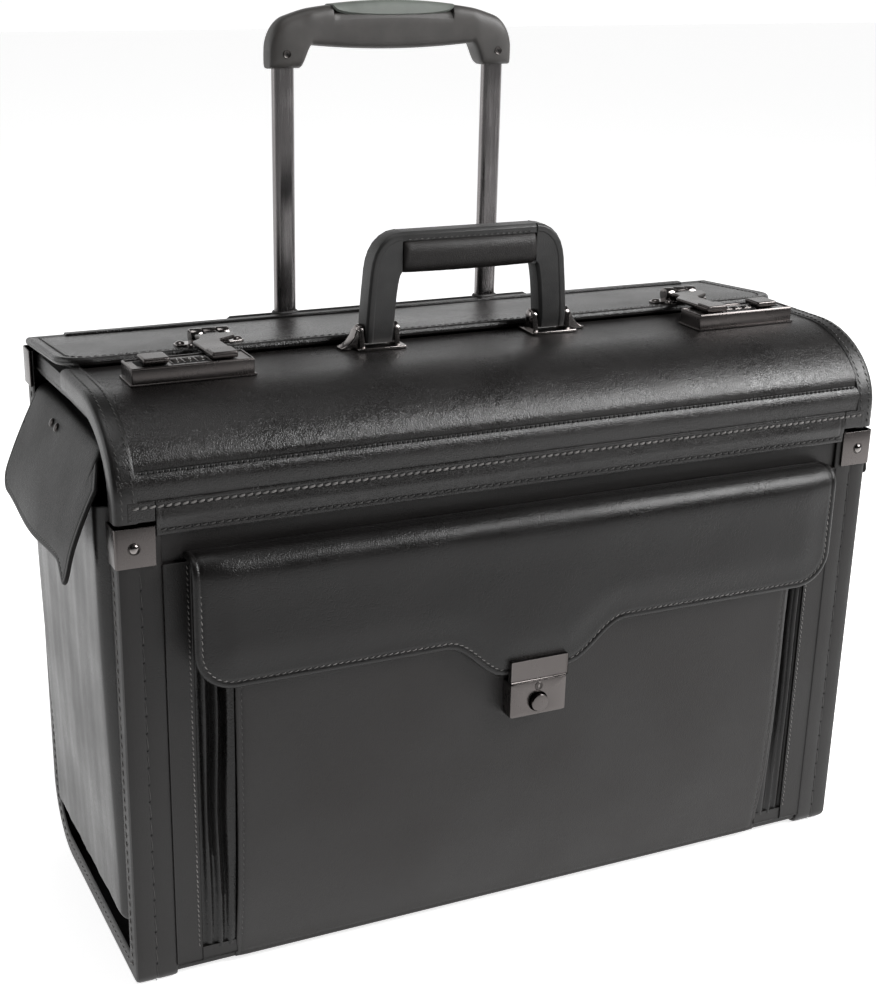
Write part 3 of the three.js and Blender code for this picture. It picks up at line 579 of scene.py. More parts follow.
THREAD = plastic("thread_black", (0.02, 0.019, 0.0185), (0.045, 0.043, 0.041), 0.42, 0.5, 2600)
# Black thread given a lighter colour to stand for its sheen: a painted sheen on the stitches.
THREAD_PAINTED_SHEEN = plastic("thread_painted_sheen", (0.08, 0.076, 0.073), (0.18, 0.171, 0.165), 0.36, 0.5, 2600)
# Near-black fill for the shade inside needle holes, lock wells and screw slots: painted shade.
HOLE_SHADE = plastic("painted_hole_shade", (0.002, 0.002, 0.002), (0.003, 0.003, 0.003), 0.8)
LINING = fabric("lining_fabric", (0.012, 0.012, 0.013), (0.03, 0.03, 0.032))
DIGIT = plastic("dial_digit", (0.55, 0.54, 0.52), (0.62, 0.61, 0.59), 0.5, 0.1)


# The slot and the edge angle of the pieces in each material; everything else is vinyl at 38 degrees.
SURFACES = {"vinyl_pocket": ("pocket_vinyl", 38), "vinyl_pouch": ("pocket_vinyl", 38),
    "nickel_dark": ("nickel", 30), "nickel_polished": ("nickel", 30), "nickel_black": ("nickel", 30),
    "aluminium_satin": ("aluminium", 30), "plastic_black": ("plastic", 30), "plastic_grip": ("plastic", 38),
    "plastic_handle": ("plastic", 38), "insert_grey_green": ("insert", 38), "tyre_rubber": ("tyre", 38),
    "wheel_hub": ("tyre", 38)}


# ------------------------------------------------------------------ body lines
CORNER_Y, CORNER_Z = 61.5, 47.0  # middle of the rounded bottom rear corner
LID_Y, LID_Z = -44.0, 327.0  # middle of the front lid's curve, and the curve's two radii
LID_DEPTH, LID_HEIGHT = 64.5, 50.0
LID_REAR, LID_TOP = 4.6, 377.0


def body_line(depth, top_front, top_back, toe=8.0):
    """The (y, z) line round the body at a depth inside its outer face, from the front top to the back top."""
    r = max(0.6, toe - depth)
    big_y = 108.5 - depth - CORNER_Y
    big_z = CORNER_Z - depth
    line = [(FRONT + depth, top_front - (top_front - toe) * i / 24) for i in range(24)]
    line += arc(FRONT + depth + r, depth + r, r, r, 180, 270, 6)
    run = CORNER_Y - (FRONT + depth + r)
    line += [(FRONT + depth + r + run * i / 16, depth) for i in range(1, 16)]
    line += arc(CORNER_Y, CORNER_Z, big_y, big_z, -90, 0, 18)
    line += [(108.5 - depth, CORNER_Z + (top_back - CORNER_Z) * i / 24) for i in range(1, 25)]
    return line


def lid_line(height, bottom=313.5, rear=LID_REAR, fine=34):
    """The (y, z) line of the front lid, height outside its outer face."""
    line = [(FRONT - height, bottom + (LID_Z - bottom) * i / 8) for i in range(8)]
    line += arc(LID_Y, LID_Z, LID_DEPTH + height, LID_HEIGHT + height, 180, 90, fine)
    line += [(LID_Y + (rear - LID_Y) * i / 14, LID_TOP + height) for i in range(1, 15)]
    return line


def line_normals(line):
    out = []
    for i, _ in enumerate(line):
        a = Vector(line[max(0, i - 1)])
        b = Vector(line[min(len(line) - 1, i + 1)])
        d = (b - a).normalized()
        out.append(Vector((-d.y, d.x)))
    return out


# ------------------------------------------------------------------ front board and hinge strip
def front_board():
    us = spacing(-267.6, 267.6, HEM, 9)
    build("front_board", panel(us, 4.4, 311.4, lambda u, v, w: (u, -104.3 - w, v), 3.8, 1.6, 9, seed=2.0,
        wobble=0.18), BOARD_VINYL, replaces="front_panel")


def other_boards():
    """The floor, the back and the rounded rear corner between the wheels, and the two end boards."""
    us = spacing(-267.5, 267.5, HEM, 9)
    build("back_board", panel(us, 58.6, 368.8, lambda u, v, w: (u, 104.2 + w, v), 3.8, 1.6, 9, seed=14.0,
        wobble=0.15), BOARD_VINYL, replaces="back_panel")
    build("floor_board", panel(us, -101.7, 59.3, lambda u, v, w: (u, v, 6.3 - w), 3.8, 1.6, 9, seed=15.0,
        wobble=0.1), BOARD_VINYL, replaces="bottom_panel")

    bend = [(60.0, 6.3)] + arc(CORNER_Y, CORNER_Z, 42.7, 40.7, -90, 0, 24) + [(104.2, 52.0), (104.2, 57.9)]
    normals = [-n for n in line_normals(bend)]
    along = [0.0]
    for a, b in zip(bend, bend[1:]):
        along.append(along[-1] + math.dist(a, b))

    def round_corner(u, v, w):
        y, z = (np.interp(v, along, [p[i] for p in bend]) for i in (0, 1))
        ny, nz = (np.interp(v, along, [n[i] for n in normals]) for i in (0, 1))
        return (u, y + ny * w, z + nz * w)

    build("rear_corner_board", panel(spacing(-195.2, 195.2, HEM, 9), 0.0, along[-1], round_corner, 3.8, 1.6,
        4, seed=16.0, wobble=0.1), BOARD_VINYL, replaces="rear_corner_panel")

    k = 20.7
    end = [(-102.1, 8.8), (59.8, 8.8), (59.8, 4.8)] + arc(CORNER_Y, CORNER_Z, 44.3, 42.3, -90, 0, 16)
    end += [(105.8, 58.1), (101.6, 58.1), (101.6, 373.3 - k), (LID_REAR, LID_TOP - k)]
    end += arc(LID_Y, LID_Z, LID_DEPTH - k, LID_HEIGHT - k, 90, 180, 20) + [(FRONT + k, 295.6),
        (-102.1, 295.6)]
    for side, sign in SIDES:
        build(f"{side}_end_board", plate(end, 249.05, 252.95, 1.2, lambda u, v, w, s=sign: (s * w, u, v)),
            VINYL, replaces=f"{side}_side_panel")


def hinge_strip():
    """The vinyl that joins the front lid to the body at the hinge."""
    us = spacing(-246.4, 246.4, HEM, 7)

    def bulge(u, v, d):
        ridge = 0.9 * np.exp(-((v - 315.2) / 4.0) ** 2)
        return ridge + 0.07 * np.sin(u * 2 * math.pi / 5.0) * np.exp(-((v - 323.0) / 1.6) ** 2)

    obj = build("hinge_strip", panel(us, 304.6, 326.0, lambda u, v, w: (u, -109.1 - w, v), 1.5, 0.8, 1.2,
        fine=[0, 0.3, 0.8, 1.5, 2.2, 3.0, 3.6, 4.2, 5.0], hem=3.4, groove=0.3, wobble=0.12, seed=3.0,
        extra=bulge), LID_VINYL, body=None)
    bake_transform(obj)
    for name, z, x, body, thread, radius in (("c", 308.0, 244.5, "case", THREAD, 0.46),
            ("b", 322.6, 260.5, "front_lid", THREAD_PAINTED_SHEEN, 0.72)):
        line = [(-x, -109.8, z), (x, -109.8, z)]
        build(f"stitches_row_{name}", thread_row(line, (0, -1, 0), 4.9, 4.3, radius, 0.1), thread, body)
        build(f"holes_row_{name}", hole_shade_row(line, (0, -1, 0), 4.9, 0.8), HOLE_SHADE, body)
    for side, sign in SIDES:
        build(f"{side}_hinge_strip_end", panel(spacing(246.6, 263.0, [0, 0.3, 0.8, 1.5, 3], 4), 313.9,
            326.0, lambda u, v, w, s=sign: (s * u, -109.3 - w, v), 1.2, 0.6, 1.2,
            fine=[0, 0.3, 0.8, 1.5, 2.5], wobble=0.1), LID_VINYL, "front_lid")


# ------------------------------------------------------------------ front lid
def front_lid():
    line = lid_line(0)
    normals = line_normals(line)
    thick = 4.0
    xs = spacing(-268.2, 268.2, [0, 1, 2.5, 5, 9], 6)
    sections = []
    for x in xs:
        outer, inner = [], []
        for (y, z), n in zip(line, normals):
            height = 0.0
            if y < LID_Y:
                height -= 1.3 * math.exp(-((z - 343.4) / 1.5) ** 2)
                height += 0.7 * smooth((z - 344.3) / 1.4) * (1 - smooth((z - 352) / 14))
                height += 1.1 * math.exp(-((z - 336.5) / 5.5) ** 2)
            height += float(waves(x, z + y, 5.0, 0.12))
            outer.append((x, y + n.x * height, z + n.y * height))
            inner.append((x, y - n.x * thick, z - n.y * thick))
        sections.append(outer + inner[::-1])
    build("front_lid_shell", loft(sections), LID_VINYL, "front_lid", replaces="front_lid")

    lining = []
    for x in spacing(-265, 265, [0, 1, 3], 14):
        a = [(x, y - n.x * 4.15, z - n.y * 4.15) for (y, z), n in zip(line, normals)]
        b = [(x, y - n.x * 4.9, z - n.y * 4.9) for (y, z), n in zip(line, normals)]
        lining.append(a[:-1] + b[:-1][::-1])
    build("front_lid_lining", loft(lining), LINING, "front_lid")

    seam = [(y, z) for y, z in lid_line(0.15, fine=120) if 341.2 < z < 342.2 and y < LID_Y]
    y, z = seam[len(seam) // 2]
    n = Vector((0, -1, 0.55)).normalized()
    build("stitches_row_a", thread_row([(-255.5, y, z), (255.5, y, z)], n, 3.4, 1.9, 0.5, -0.1), THREAD,
        "front_lid")
    build("holes_row_a", hole_shade_row([(-255.5, y, z), (255.5, y, z)], n, 3.4, 1.0), HOLE_SHADE, "front_lid")
    for side, sign in SIDES:
        end_binding(side, sign)


def end_binding(side, sign):
    """The strip that wraps the lid's end, over the face and down the flange, with two rows of stitching."""
    section = [(256.6, -4.2), (256.6, 0.0), (257.1, 0.75), (258.2, 1.0), (261.0, 1.05), (264, 1.05),
        (267.3, 1.0), (269.4, 0.5), (270.7, -0.8), (271.1, -2.6), (271.1, -7), (271.0, -10.6),
        (270.4, -12.0), (268.8, -12.5), (267.0, -12.1), (266.4, -11.2), (266.4, -4.2)]
    base = lid_line(0)
    normals = line_normals(base)
    sections = []
    for i, ((y, z), n) in enumerate(zip(base, normals)):
        ring = []
        for x, h in section:
            wave = 0.12 * math.sin(i * 1.9 + x)
            ring.append((sign * x, y + n.x * (h + wave * 0.5), z + n.y * (h + wave * 0.5)))
        sections.append(ring)
    build(f"{side}_lid_binding", loft(sections), BINDING, "front_lid")

    def up(p):
        if p.z < LID_Z:
            return (0, -1, 0)
        if p.y > LID_Y:
            return (0, 0, 1)
        return (0, (p.y - LID_Y) / LID_DEPTH ** 2, (p.z - LID_Z) / LID_HEIGHT ** 2)

    line = lid_line(1.05, 316, 2.5)
    rows = [thread_row([(sign * x, y, z) for y, z in line], up, 4.6, 3.2, 0.34, 0.0) for x in (259.3,
        266.2)]
    build(f"{side}_binding_stitches", merged(*rows), THREAD, "front_lid")


# ------------------------------------------------------------------ edge bands and corner plates
def swept(section, line, sign):
    """A section of (x, depth) pairs carried along line(depth), a line in (y, z) for each depth."""
    lines = {depth: line(depth) for _, depth in section}
    return loft([[(sign * x, *lines[depth][i]) for x, depth in section] for i in range(len(line(0)))])


def edge_bands():
    skin = 2.0
    section = [(243.2, skin), (243.0, 1.2), (243.3, 0.45), (244.2, 0.1), (246, 0.0), (250, -0.02),
        (254.6, 0.0), (256.0, 0.3), (256.7, 0.45), (257.4, 0.3), (258.8, 0.0), (264, 0.0), (267.6, 0.12),
        (269.2, 0.75), (269.9, 2.2), (270.0, 4.5), (270.0, 10), (270.0, 15.0), (269.7, 16.4), (269.0, 17.0),
        (268.3, 16.6), (268.1, 15.6), (268.1, 4.0), (266.6, skin)]
    for side, sign in SIDES:
        cover = swept(section, lambda depth: body_line(depth, 310.8, 368.8), sign)
        build(f"{side}_edge_band_cover", cover, BOARD_VINYL, replaces=f"{side}_edge_band")
        line = body_line(0.35, 283, 341)
        path = [(sign * 256.7, y, z) for y, z in line]

        def out(p):
            if p.y > CORNER_Y and p.z < CORNER_Z:
                return (0, p.y - CORNER_Y, p.z - CORNER_Z)
            if p.z < 9 and p.y > FRONT + 8:
                return (0, 0, -1)
            return (0, -1 if p.y < 0 else 1, 0)

        build(f"{side}_band_stitches", thread_row(path, out, 11.5, 9.6, 0.26, -0.02), THREAD)
        build(f"{side}_band_holes", hole_shade_row(path, out, 11.5, 0.66), HOLE_SHADE)
        inner = [(sign * 270.15, y, z) for y, z in body_line(10.5, 283, 341)]
        build(f"{side}_band_leg_stitches", thread_row(inner, (sign, 0, 0), 6.2, 4.2, 0.36, 0.0),
            THREAD_PAINTED_SHEEN)


def corner_plates():
    thick = 1.3
    for end, sy in (("front", -1), ("rear", 1)):
        top = 311.0 if sy < 0 else 369.0
        for side, sign in SIDES:
            ox, oy = HALF + 0.3 + thick, 108.5 + 0.3 + thick
            ix, iy = HALF + 0.3, 108.5 + 0.3
            angle = [(ox - 24.5, oy), (ox - 24.5, iy), (ix, iy), (ix, 91.5), (ox, 91.5), (ox, oy)]
            angle = fillet(angle, [0.3, 0.3, 0.9, 0.3, 0.3, 2.2], 5)
            poly = [(sign * x, sy * y) for x, y in angle]
            node = f"{end}_{side}_corner_plate"
            build(node + "_metal", plate(poly, top - 24.5, top, 0.45, flat_xy), NICKEL, replaces=node)
            centre = (sign * (ox - 11.45), sy * oy, top - 12.6)
            axis = "-y" if sy < 0 else "y"
            ring = [(3.9, -0.3), (3.9, 0.12), (3.5, 0.3), (3.1, 0.12), (3.0, -0.3)]
            build(node + "_rivet_seat", revolve(ring, centre, axis, 32), BLACK_NICKEL)
            build(node + "_rivet", revolve(dome(2.9, 1.4), centre, axis, 28), NICKEL_BRIGHT)


# ------------------------------------------------------------------ mouth frames
def side_rims():
    section = [(249.2, 1.5), (249.4, 0.5), (250.6, 0.0), (257, -0.2), (264.2, 0.0), (265.6, 0.6),
        (266.1, 2.0), (266.2, 7.0), (266.0, 12.0), (265.2, 13.6), (263.6, 14.0), (257, 14.1), (251, 14.0),
        (249.4, 13.2), (249.2, 12.0), (249.2, 7.0)]

    def line(depth):
        k = 6.4 + depth
        path = [(FRONT + k, 296 + 31 * i / 10) for i in range(10)]
        path += arc(LID_Y, LID_Z, LID_DEPTH - k, LID_HEIGHT - k, 180, 90, 20)
        path += [(LID_Y + 48.6 * i / 8, LID_TOP - k) for i in range(1, 9)]
        path += [(LID_REAR + (101.9 - LID_REAR) * i / 16, LID_TOP - k - 3.6 * i / 16) for i in range(1, 17)]
        return path

    for side, sign in SIDES:
        build(f"{side}_mouth_frame", swept(section, line, sign), VINYL, replaces=f"{side}_side_rim")
        path = [(sign * 266.2, y, z) for y, z in line(10.5)]
        build(f"{side}_mouth_stitches", thread_row(path, (sign, 0, 0), 5.0, 3.5, 0.34, 0.02), THREAD_PAINTED_SHEEN)


# ------------------------------------------------------------------ front pocket
POCKET_HALF = 204.0


def pocket_face(z):
    """Y of the pocket's outer face: it leaves the board at the bottom and swells to its full depth."""
    knots = [(4.5, -107.6), (14, -109.0), (30, -112.0), (60, -116.2), (100, -118.7), (150, -119.7),
        (270, -119.9)]
    for (z0, y0), (z1, y1) in zip(knots, knots[1:]):
        if z <= z1:
            t = (z - z0) / (z1 - z0)
            return y0 + (y1 - y0) * t
    return knots[-1][1]


FACE_Z = np.linspace(4.5, 275, 109)
FACE_Y = np.array([pocket_face(z) for z in FACE_Z])
KERNEL = np.hanning(15)
FACE_Y = np.convolve(np.pad(FACE_Y, 7, mode="edge"), KERNEL / KERNEL.sum(), "valid")


def pocket():
    def place(u, v, w):
        y = float(np.interp(v, FACE_Z, FACE_Y))
        side = smooth((abs(u) - 196) / 8.0)
        return (u, y + 1.4 - w + 0.5 * side, v)

    us = spacing(-POCKET_HALF, POCKET_HALF, HEM, 7)
    build("pocket_front", panel(us, 5.0, 262.0, place, 2.8, 1.3, 7, hem=3.4, groove=0.22, wobble=0.35,
        seed=6.0), POCKET_VINYL, replaces="pocket_panel")
    rows = [thread_row([place(sign * 200.6, z, 1.2) for z in np.linspace(22, 258, 60)], (0, -1, 0), 4.6,
        3.0, 0.26, 0.0) for sign in (-1, 1)]
    build("pocket_stitches", merged(*rows), THREAD)
    gussets()


def gussets():
    """Pleated bellows at the pocket's sides and the stitched frame of the slot that they sit in."""
    for side, sign in SIDES:
        sections = []
        for z in np.linspace(17, 268, 84):
            depth = np.interp(z, [17, 30, 90, 150, 268], [0.4, 2.2, 6.5, 9.0, 10.5])
            sway = 0.9 * math.sin(z * 0.021 + sign) + 0.45 * math.sin(z * 0.055 + 1.3)
            front = [(204.6, -107.6 - depth), (208.2 + sway * 0.5, -108.4 - depth * 0.75),
                (211.0 + sway, -107.2 - depth * 0.25), (214.4 + sway, -108.6 - depth * 0.62),
                (217.6 + sway * 0.8, -107.0 - depth * 0.15), (221.0 + sway * 0.5, -107.9 - depth * 0.35),
                (224.2, -106.9), (227.2, -107.4)]
            curve = []
            for i in range(len(front) - 1):
                p0 = Vector(front[max(0, i - 1)])
                p1, p2 = Vector(front[i]), Vector(front[i + 1])
                p3 = Vector(front[min(len(front) - 1, i + 2)])
                for k in range(4):
                    t = k / 4
                    q = 0.5 * ((2 * p1) + (p2 - p0) * t + (2 * p0 - 5 * p1 + 4 * p2 - p3) * t * t
                        + (3 * p1 - p0 - 3 * p2 + p3) * t ** 3)
                    curve.append((q.x, q.y))
            curve.append(front[-1])
            back = [(x, y + 1.0) for x, y in curve[::-1]]
            sections.append([(sign * x, y, z) for x, y in curve + back])
        build(f"{side}_pocket_bellows", loft(sections), VINYL, sharp=60, replaces=f"{side}_pocket_gusset")
        z1, x0, x1 = 286.0, 226.4, 243.6
        slot = box_outline(x0, x1, 10, z1, 1.0)
        build(f"{side}_pocket_frame", plate([(sign * x, z) for x, z in slot], -106.4, -108.6, 0.6, flat_xz),
            BOARD_VINYL)
        build(f"{side}_pocket_toe", plate([(sign * x, z) for x, z in box_outline(203, x0 + 0.5, 10, 19.5,
            1.0)], -106.4, -108.3, 0.6, flat_xz), BOARD_VINYL)
        path = [(sign * 228.6, -108.62, z) for z in (20, 284)]
        build(f"{side}_slot_stitches", thread_row(path, (0, -1, 0), 3.6, 2.6, 0.36, 0.05), THREAD_PAINTED_SHEEN)


FLAP_HALF = 231.0


def flap_lower(u):
    """Height of the flap's lower edge: rounded corners, and an S-curve down to the middle."""
    a = abs(u)
    if a <= 24:
        return 182.0
    if a < 65:
        return 182.0 + 25.5 * smooth((a - 24) / 41)
    if a <= 206:
        return 207.5
    d = min(1.0, (a - 206) / 25)
    return 207.5 + 25 * (1 - circle(d))


def flap_place(u, v, w):
    """The flap's surface: a flat front, a roll over the top, then a tail that goes back to the board."""
    bend, r, mid = 281.0, 9.2, -125.6
    quarter = r * math.pi / 2
    lean = 0.9 * smooth((v - 185) / 60)
    if v <= bend:
        return (u, mid + lean * 0.4 - w, v)
    if v <= bend + quarter:
        a = (v - bend) / r
        return (u, mid + 0.36 + r - (r + w) * math.cos(a), bend + (r + w) * math.sin(a))
    return (u, mid + 0.36 + r + (v - bend - quarter), bend + r + w)


def pocket_flap():
    us = spacing(-FLAP_HALF, FLAP_HALF, HEM + [24, 27], 6)
    top = 281 + 9.2 * math.pi / 2 + 9.0

    def extra(u, v, d):
        roll = 1.1 * np.exp(-((v - 279) / 14.0) ** 2) * np.clip(d / 12, 0, 1)
        sag = 0.5 * np.sin(u * 0.021 + 0.7) * np.clip(d / 25, 0, 1)
        return roll + sag

    obj = build("pocket_flap_cover", panel(us, flap_lower, top, flap_place, 4.6, 2.3, 6, pillow=1.8,
        hem=4.6, groove=0.6, wobble=0.45, seed=7.0, extra=extra), VINYL, body=None, replaces="pocket_flap")
    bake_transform(obj)
    edge = [(u, flap_lower(u)) for u in np.concatenate([FLAP_HALF - 25 + 25
        * np.sin(np.linspace(math.pi / 2, 0, 14)), np.linspace(205, 65, 24), np.linspace(64, 25, 16)])]
    inner = offset_line([(FLAP_HALF, 276.0), (FLAP_HALF, 255.0)] + edge, -1, 4.6)
    rows = [thread_row([flap_place(sign * u, v, 1.8) for u, v in inner], (0, -1, 0), 4.1, 3.0, 0.33,
        0.03) for sign in (-1, 1)]
    build("pocket_flap_stitches", merged(*rows), THREAD_PAINTED_SHEEN, "pocket_flap")


ROUND = [math.radians(45 + 360 * k / 64) for k in range(64)]


def around(half_x, half_z, radius):
    """A rounded rectangle round the pocket lock's middle, in the same steps as ROUND."""
    out = []
    for a in ROUND:
        c, s = math.cos(a), math.sin(a)
        x = math.copysign(min(half_x, abs(c) * half_x * math.sqrt(2)), c)
        z = math.copysign(min(half_z, abs(s) * half_z * math.sqrt(2)), s)
        over = max(0.0, radius - (half_x - abs(x)) - (half_z - abs(z)))
        out.append((x - math.copysign(over * 0.3, x), 164.4 + z - math.copysign(over * 0.3, z)))
    return out


def pocket_lock():
    build("pocket_hasp_metal", plate(box_outline(-21, 21, 177.3, 192.5, 0.8), -128.2, -130.5, 0.9, flat_xz),
        NICKEL, "pocket_flap", replaces="pocket_hasp_plate")
    sections = [[(x, -120.0, z) for x, z in around(20.2, 12.1, 1.2)]]
    for off, depth in ((0, 0.3), (0, 10.2), (0.1, 10.55), (0.35, 10.85), (0.75, 11.0)):
        sections.append([(x, -120.0 - depth, z) for x, z in around(20.5 - off, 12.4 - off, 1.2)])
    for r, y in ((7.3, -131.0), (6.95, -130.9), (6.6, -130.4), (6.55, -121.0)):
        sections.append([(r * math.cos(a), y, 161.4 + r * math.sin(a)) for a in ROUND])
    build("pocket_lock_shell", loft(sections), NICKEL, replaces="pocket_lock_case")
    key = [(3.0, -1.0), (3.0, 0.1), (2.7, 0.35), (2.1, 0.3), (1.9, 0.02), (0.05, 0.0)]
    build("pocket_keyway", revolve(key, (0, -131.0, 172.4), "-y", 24), BLACK_NICKEL)
    build("pocket_key_slot", plate(box_outline(-0.4, 0.4, 171.2, 173.6, 0.3), -130.6, -131.08, 0.05,
        flat_xz), NICKEL_BRIGHT)
    knob = [(5.95, -3.6), (5.95, 2.7), (5.6, 3.1), (4.6, 3.3), (2.0, 3.3), (0.05, 3.3)]
    build("pocket_knob", revolve(knob, (0, -131.0, 161.4), "-y", 36), NICKEL, "pocket_lock_button",
        replaces="pocket_lock_button")


# ------------------------------------------------------------------ end pouches
def pouch_face(y, z):
    """Distance from the middle of the case to a pouch's outer face."""
    t = (z - 34) / 284
    base = 271.2 + 4.3 * smooth(t * 1.1)
    swell = 1.9 * (1 - (y / 90) ** 2) * math.sin(math.pi * min(1, max(0, t)))
    streak = 0.22 * math.sin(y * 0.16 + 0.8 * math.sin(z * 0.012)) + 0.12 * math.sin(y * 0.41 + z * 0.006)
    return base + swell + streak


def pouches():
    for side, sign in SIDES:
        def place(u, v, w, sign=sign):
            back = 253.6
            far = pouch_face(u, v)
            edge = min(1.0, (88.0 - abs(u)) / 7.0)
            foot = min(1.0, (v - 32.0) / 9.0)
            depth = circle(1 - max(0.0, edge)) * circle(1 - max(0.0, foot))
            return (sign * (back + (far - back) * depth + w), u, v)

        us = spacing(-88, 88, [0, 0.15, 0.5, 1.1, 2, 3, 4.2, 5.6, 7, 9, 12], 4.5)

        def foot(u):
            if u <= 62:
                return 32.0
            d = min(1.0, (u - 62) / 26)
            return 32.0 + 26 * (1 - circle(d))

        build(f"{side}_pouch_cover", panel(us, foot, 318.0, place, 1.6, 0.8, 5,
            fine=[0, 0.15, 0.5, 1.1, 2, 3, 4.2, 5.6, 7, 9, 12], wobble=0.0), POUCH_VINYL, sharp=70,
            replaces=f"{side}_pouch")
        pouch_flap(side, sign)


def flap_drop(u):
    """Length of a pouch flap below its fold: pointed at the front, rounded at the back."""
    length = 71.0 + 2.2 * math.sin((u + 30) * 0.045)
    if u < -62:
        length += 6.5 * smooth((-62 - u) / 22)
    if u > 73:
        d = min(1.0, (u - 73) / 14.5)
        length -= 13 * (1 - circle(d))
    if u < -84.5:
        length -= 6.0 * (1 - circle((-84.5 - u) / 4.0))
    return length


def pouch_flap(side, sign):
    tilt = 0.41 if sign < 0 else 0.31
    fold_x, fold_z, r = 262.5, 340.5, 6.0
    turn = math.pi / 2 - tilt

    def place(u, v, w):
        """v is 0 where the fold ends, negative down the flap and positive back over the fold."""
        curl = 0.0000038 * max(0.0, -v - 20) ** 2 * (u - 10) * 0.5
        bow = 1.6 * math.sin(math.pi * min(1.0, max(0.0, -v / 74))) - 1.4 * smooth((-v - 52) / 22)
        if v <= 0:
            x = fold_x + (r + w + bow) * math.cos(tilt) - v * math.sin(tilt)
            z = fold_z + (r + w + bow) * math.sin(tilt) + v * math.cos(tilt)
            return (sign * (x + curl), u, z)
        if v <= r * turn:
            a = tilt + v / r
            return (sign * (fold_x + (r + w) * math.cos(a)), u, fold_z + (r + w) * math.sin(a))
        return (sign * (fold_x - (v - r * turn)), u, fold_z + r + w)

    tail = r * turn

    def upper(u):
        """The flap is cut back at its front corner, clear of the lid's end."""
        cut = u + 71
        return tail + 8.0 if cut > 3 else -1.0 + max(0.0, cut / 3) * (tail + 9) + min(0.0, cut) * 0.8

    us = spacing(-88.4, 87.4, HEM, 4.5)
    obj = build(f"{side}_pouch_flap_cover", panel(us, lambda u: -flap_drop(u), upper, place, 2.6, 1.25, 4.5,
        hem=3.6, groove=0.28, wobble=0.5, seed=9.0 + sign), POUCH_FLAP_VINYL, body=None,
        replaces=f"{side}_pouch_flap")
    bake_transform(obj)
    line = [(u, -flap_drop(u)) for u in np.concatenate([np.linspace(-84.6, 71, 50),
        73 + 14.4 * np.sin(np.linspace(0, math.pi / 2, 14))])]
    path = [place(u, v, 1.1) for u, v in offset_line(line + [(87.4, -20)], 1, 3.6)]
    n = (sign * math.cos(tilt), 0, math.sin(tilt))
    build(f"{side}_pouch_flap_stitches", thread_row(path, n, 4.2, 3.0, 0.3, 0.0), THREAD,
        f"{side}_pouch_flap")
    rivets = []
    for y in (18.0, 30.0):
        p = place(y, -7.0, 1.3)
        rivets.append(turned(revolve(dome(3.0, 1.3), (0, 0, 0), "x", 24), sign * 1.0, tilt, p))
    build(f"{side}_pouch_flap_rivets", merged(*rivets), BLACK_NICKEL, f"{side}_pouch_flap")


def turned(mesh, sign, tilt, p):
    """A small part that points along +x, turned to face outwards and up by tilt, and moved to p."""
    verts, faces = mesh
    c, s = math.cos(tilt), math.sin(tilt)
    out = [(p[0] + sign * (x * c - z * s), p[1] + y, p[2] + x * s + z * c) for x, y, z in verts]
    return out, faces


# ------------------------------------------------------------------ rear lid
SLOPE = math.atan(7.5 / 99)


def rear_place(u, v, w):
    """From the rear lid's own frame, whose origin is on its hinge, to the case's."""
    c, s = math.cos(SLOPE), math.sin(SLOPE)
    return (u, 105 + v * c + w * s, 372.6 - v * s + w * c)


def rear_front_edge(u):
    d = max(0.0, abs(u) - (270.5 - 22)) / 22
    return -100 + 22 * (1 - circle(min(1, d)))


def rear_lid():
    us = spacing(-270.5, 270.5, HEM + [24], 7)

    def extra(u, v, d):
        return 0.55 * np.exp(-((d - 2.2) / 2.4) ** 2)

    build("rear_lid_cover", panel(us, rear_front_edge, -1.0, rear_place, 5.0, 2.4, 6, pillow=0.5, hem=8.0,
        groove=0.5, wobble=0.4, seed=11.0, extra=extra), LID_VINYL, "rear_lid", replaces="rear_lid")
    corner = [(270.5 - 22 + 22 * math.sin(a), -100 + 22 * (1 - math.cos(a)))
        for a in np.linspace(math.pi / 2, 0, 16)]
    half = [(270.5, -4.0), (270.5, -60.0)] + corner + [(240, -100), (0, -100)]
    line = offset_line(half, -1, 8.0)
    rows = [thread_row([rear_place(sign * u, v, 2.45) for u, v in line], (0, 0.07, 1), 5.0, 3.6, 0.34,
        0.0) for sign in (-1, 1)]
    build("rear_lid_stitches", merged(*rows), THREAD, "rear_lid")
    build("rear_lid_lining", panel(spacing(-264, 264, [0, 1, 3], 14), -94.0, -5.0,
        lambda u, v, w: rear_place(u, v, w - 2.75), 0.5, 0.25, 12, fine=[0, 1, 3], wobble=0.0), LINING,
        "rear_lid")

    def strip_place(u, v, w):
        r = 4.0
        if v < 0:
            return (u, 107.0 + w, 368.4 + v)
        if v < r * math.pi / 2:
            a = v / r
            return (u, 103.0 + (r + w) * math.cos(a), 368.4 + (r + w) * 1.9 * math.sin(a))
        return (u, 103.0 - (v - r * math.pi / 2), 368.4 + 1.9 * (r + w))

    hinge = build("rear_hinge_strip", panel(spacing(-244.6, 244.6, [0, 0.5, 1.5, 3], 12), -9.0, 11.5,
        strip_place, 1.0, 0.5, 0.9, fine=[0, 0.3, 0.8, 1.5], wobble=0.08), VINYL, body=None)
    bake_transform(hinge)


# ------------------------------------------------------------------ locks
LOCK_X, DIAL_Y, DIAL_Z, LOCK_TOP = 201.0, -36.0, 383.6, 387.5
DIAL_OFFSETS = (-8, 0, 8)


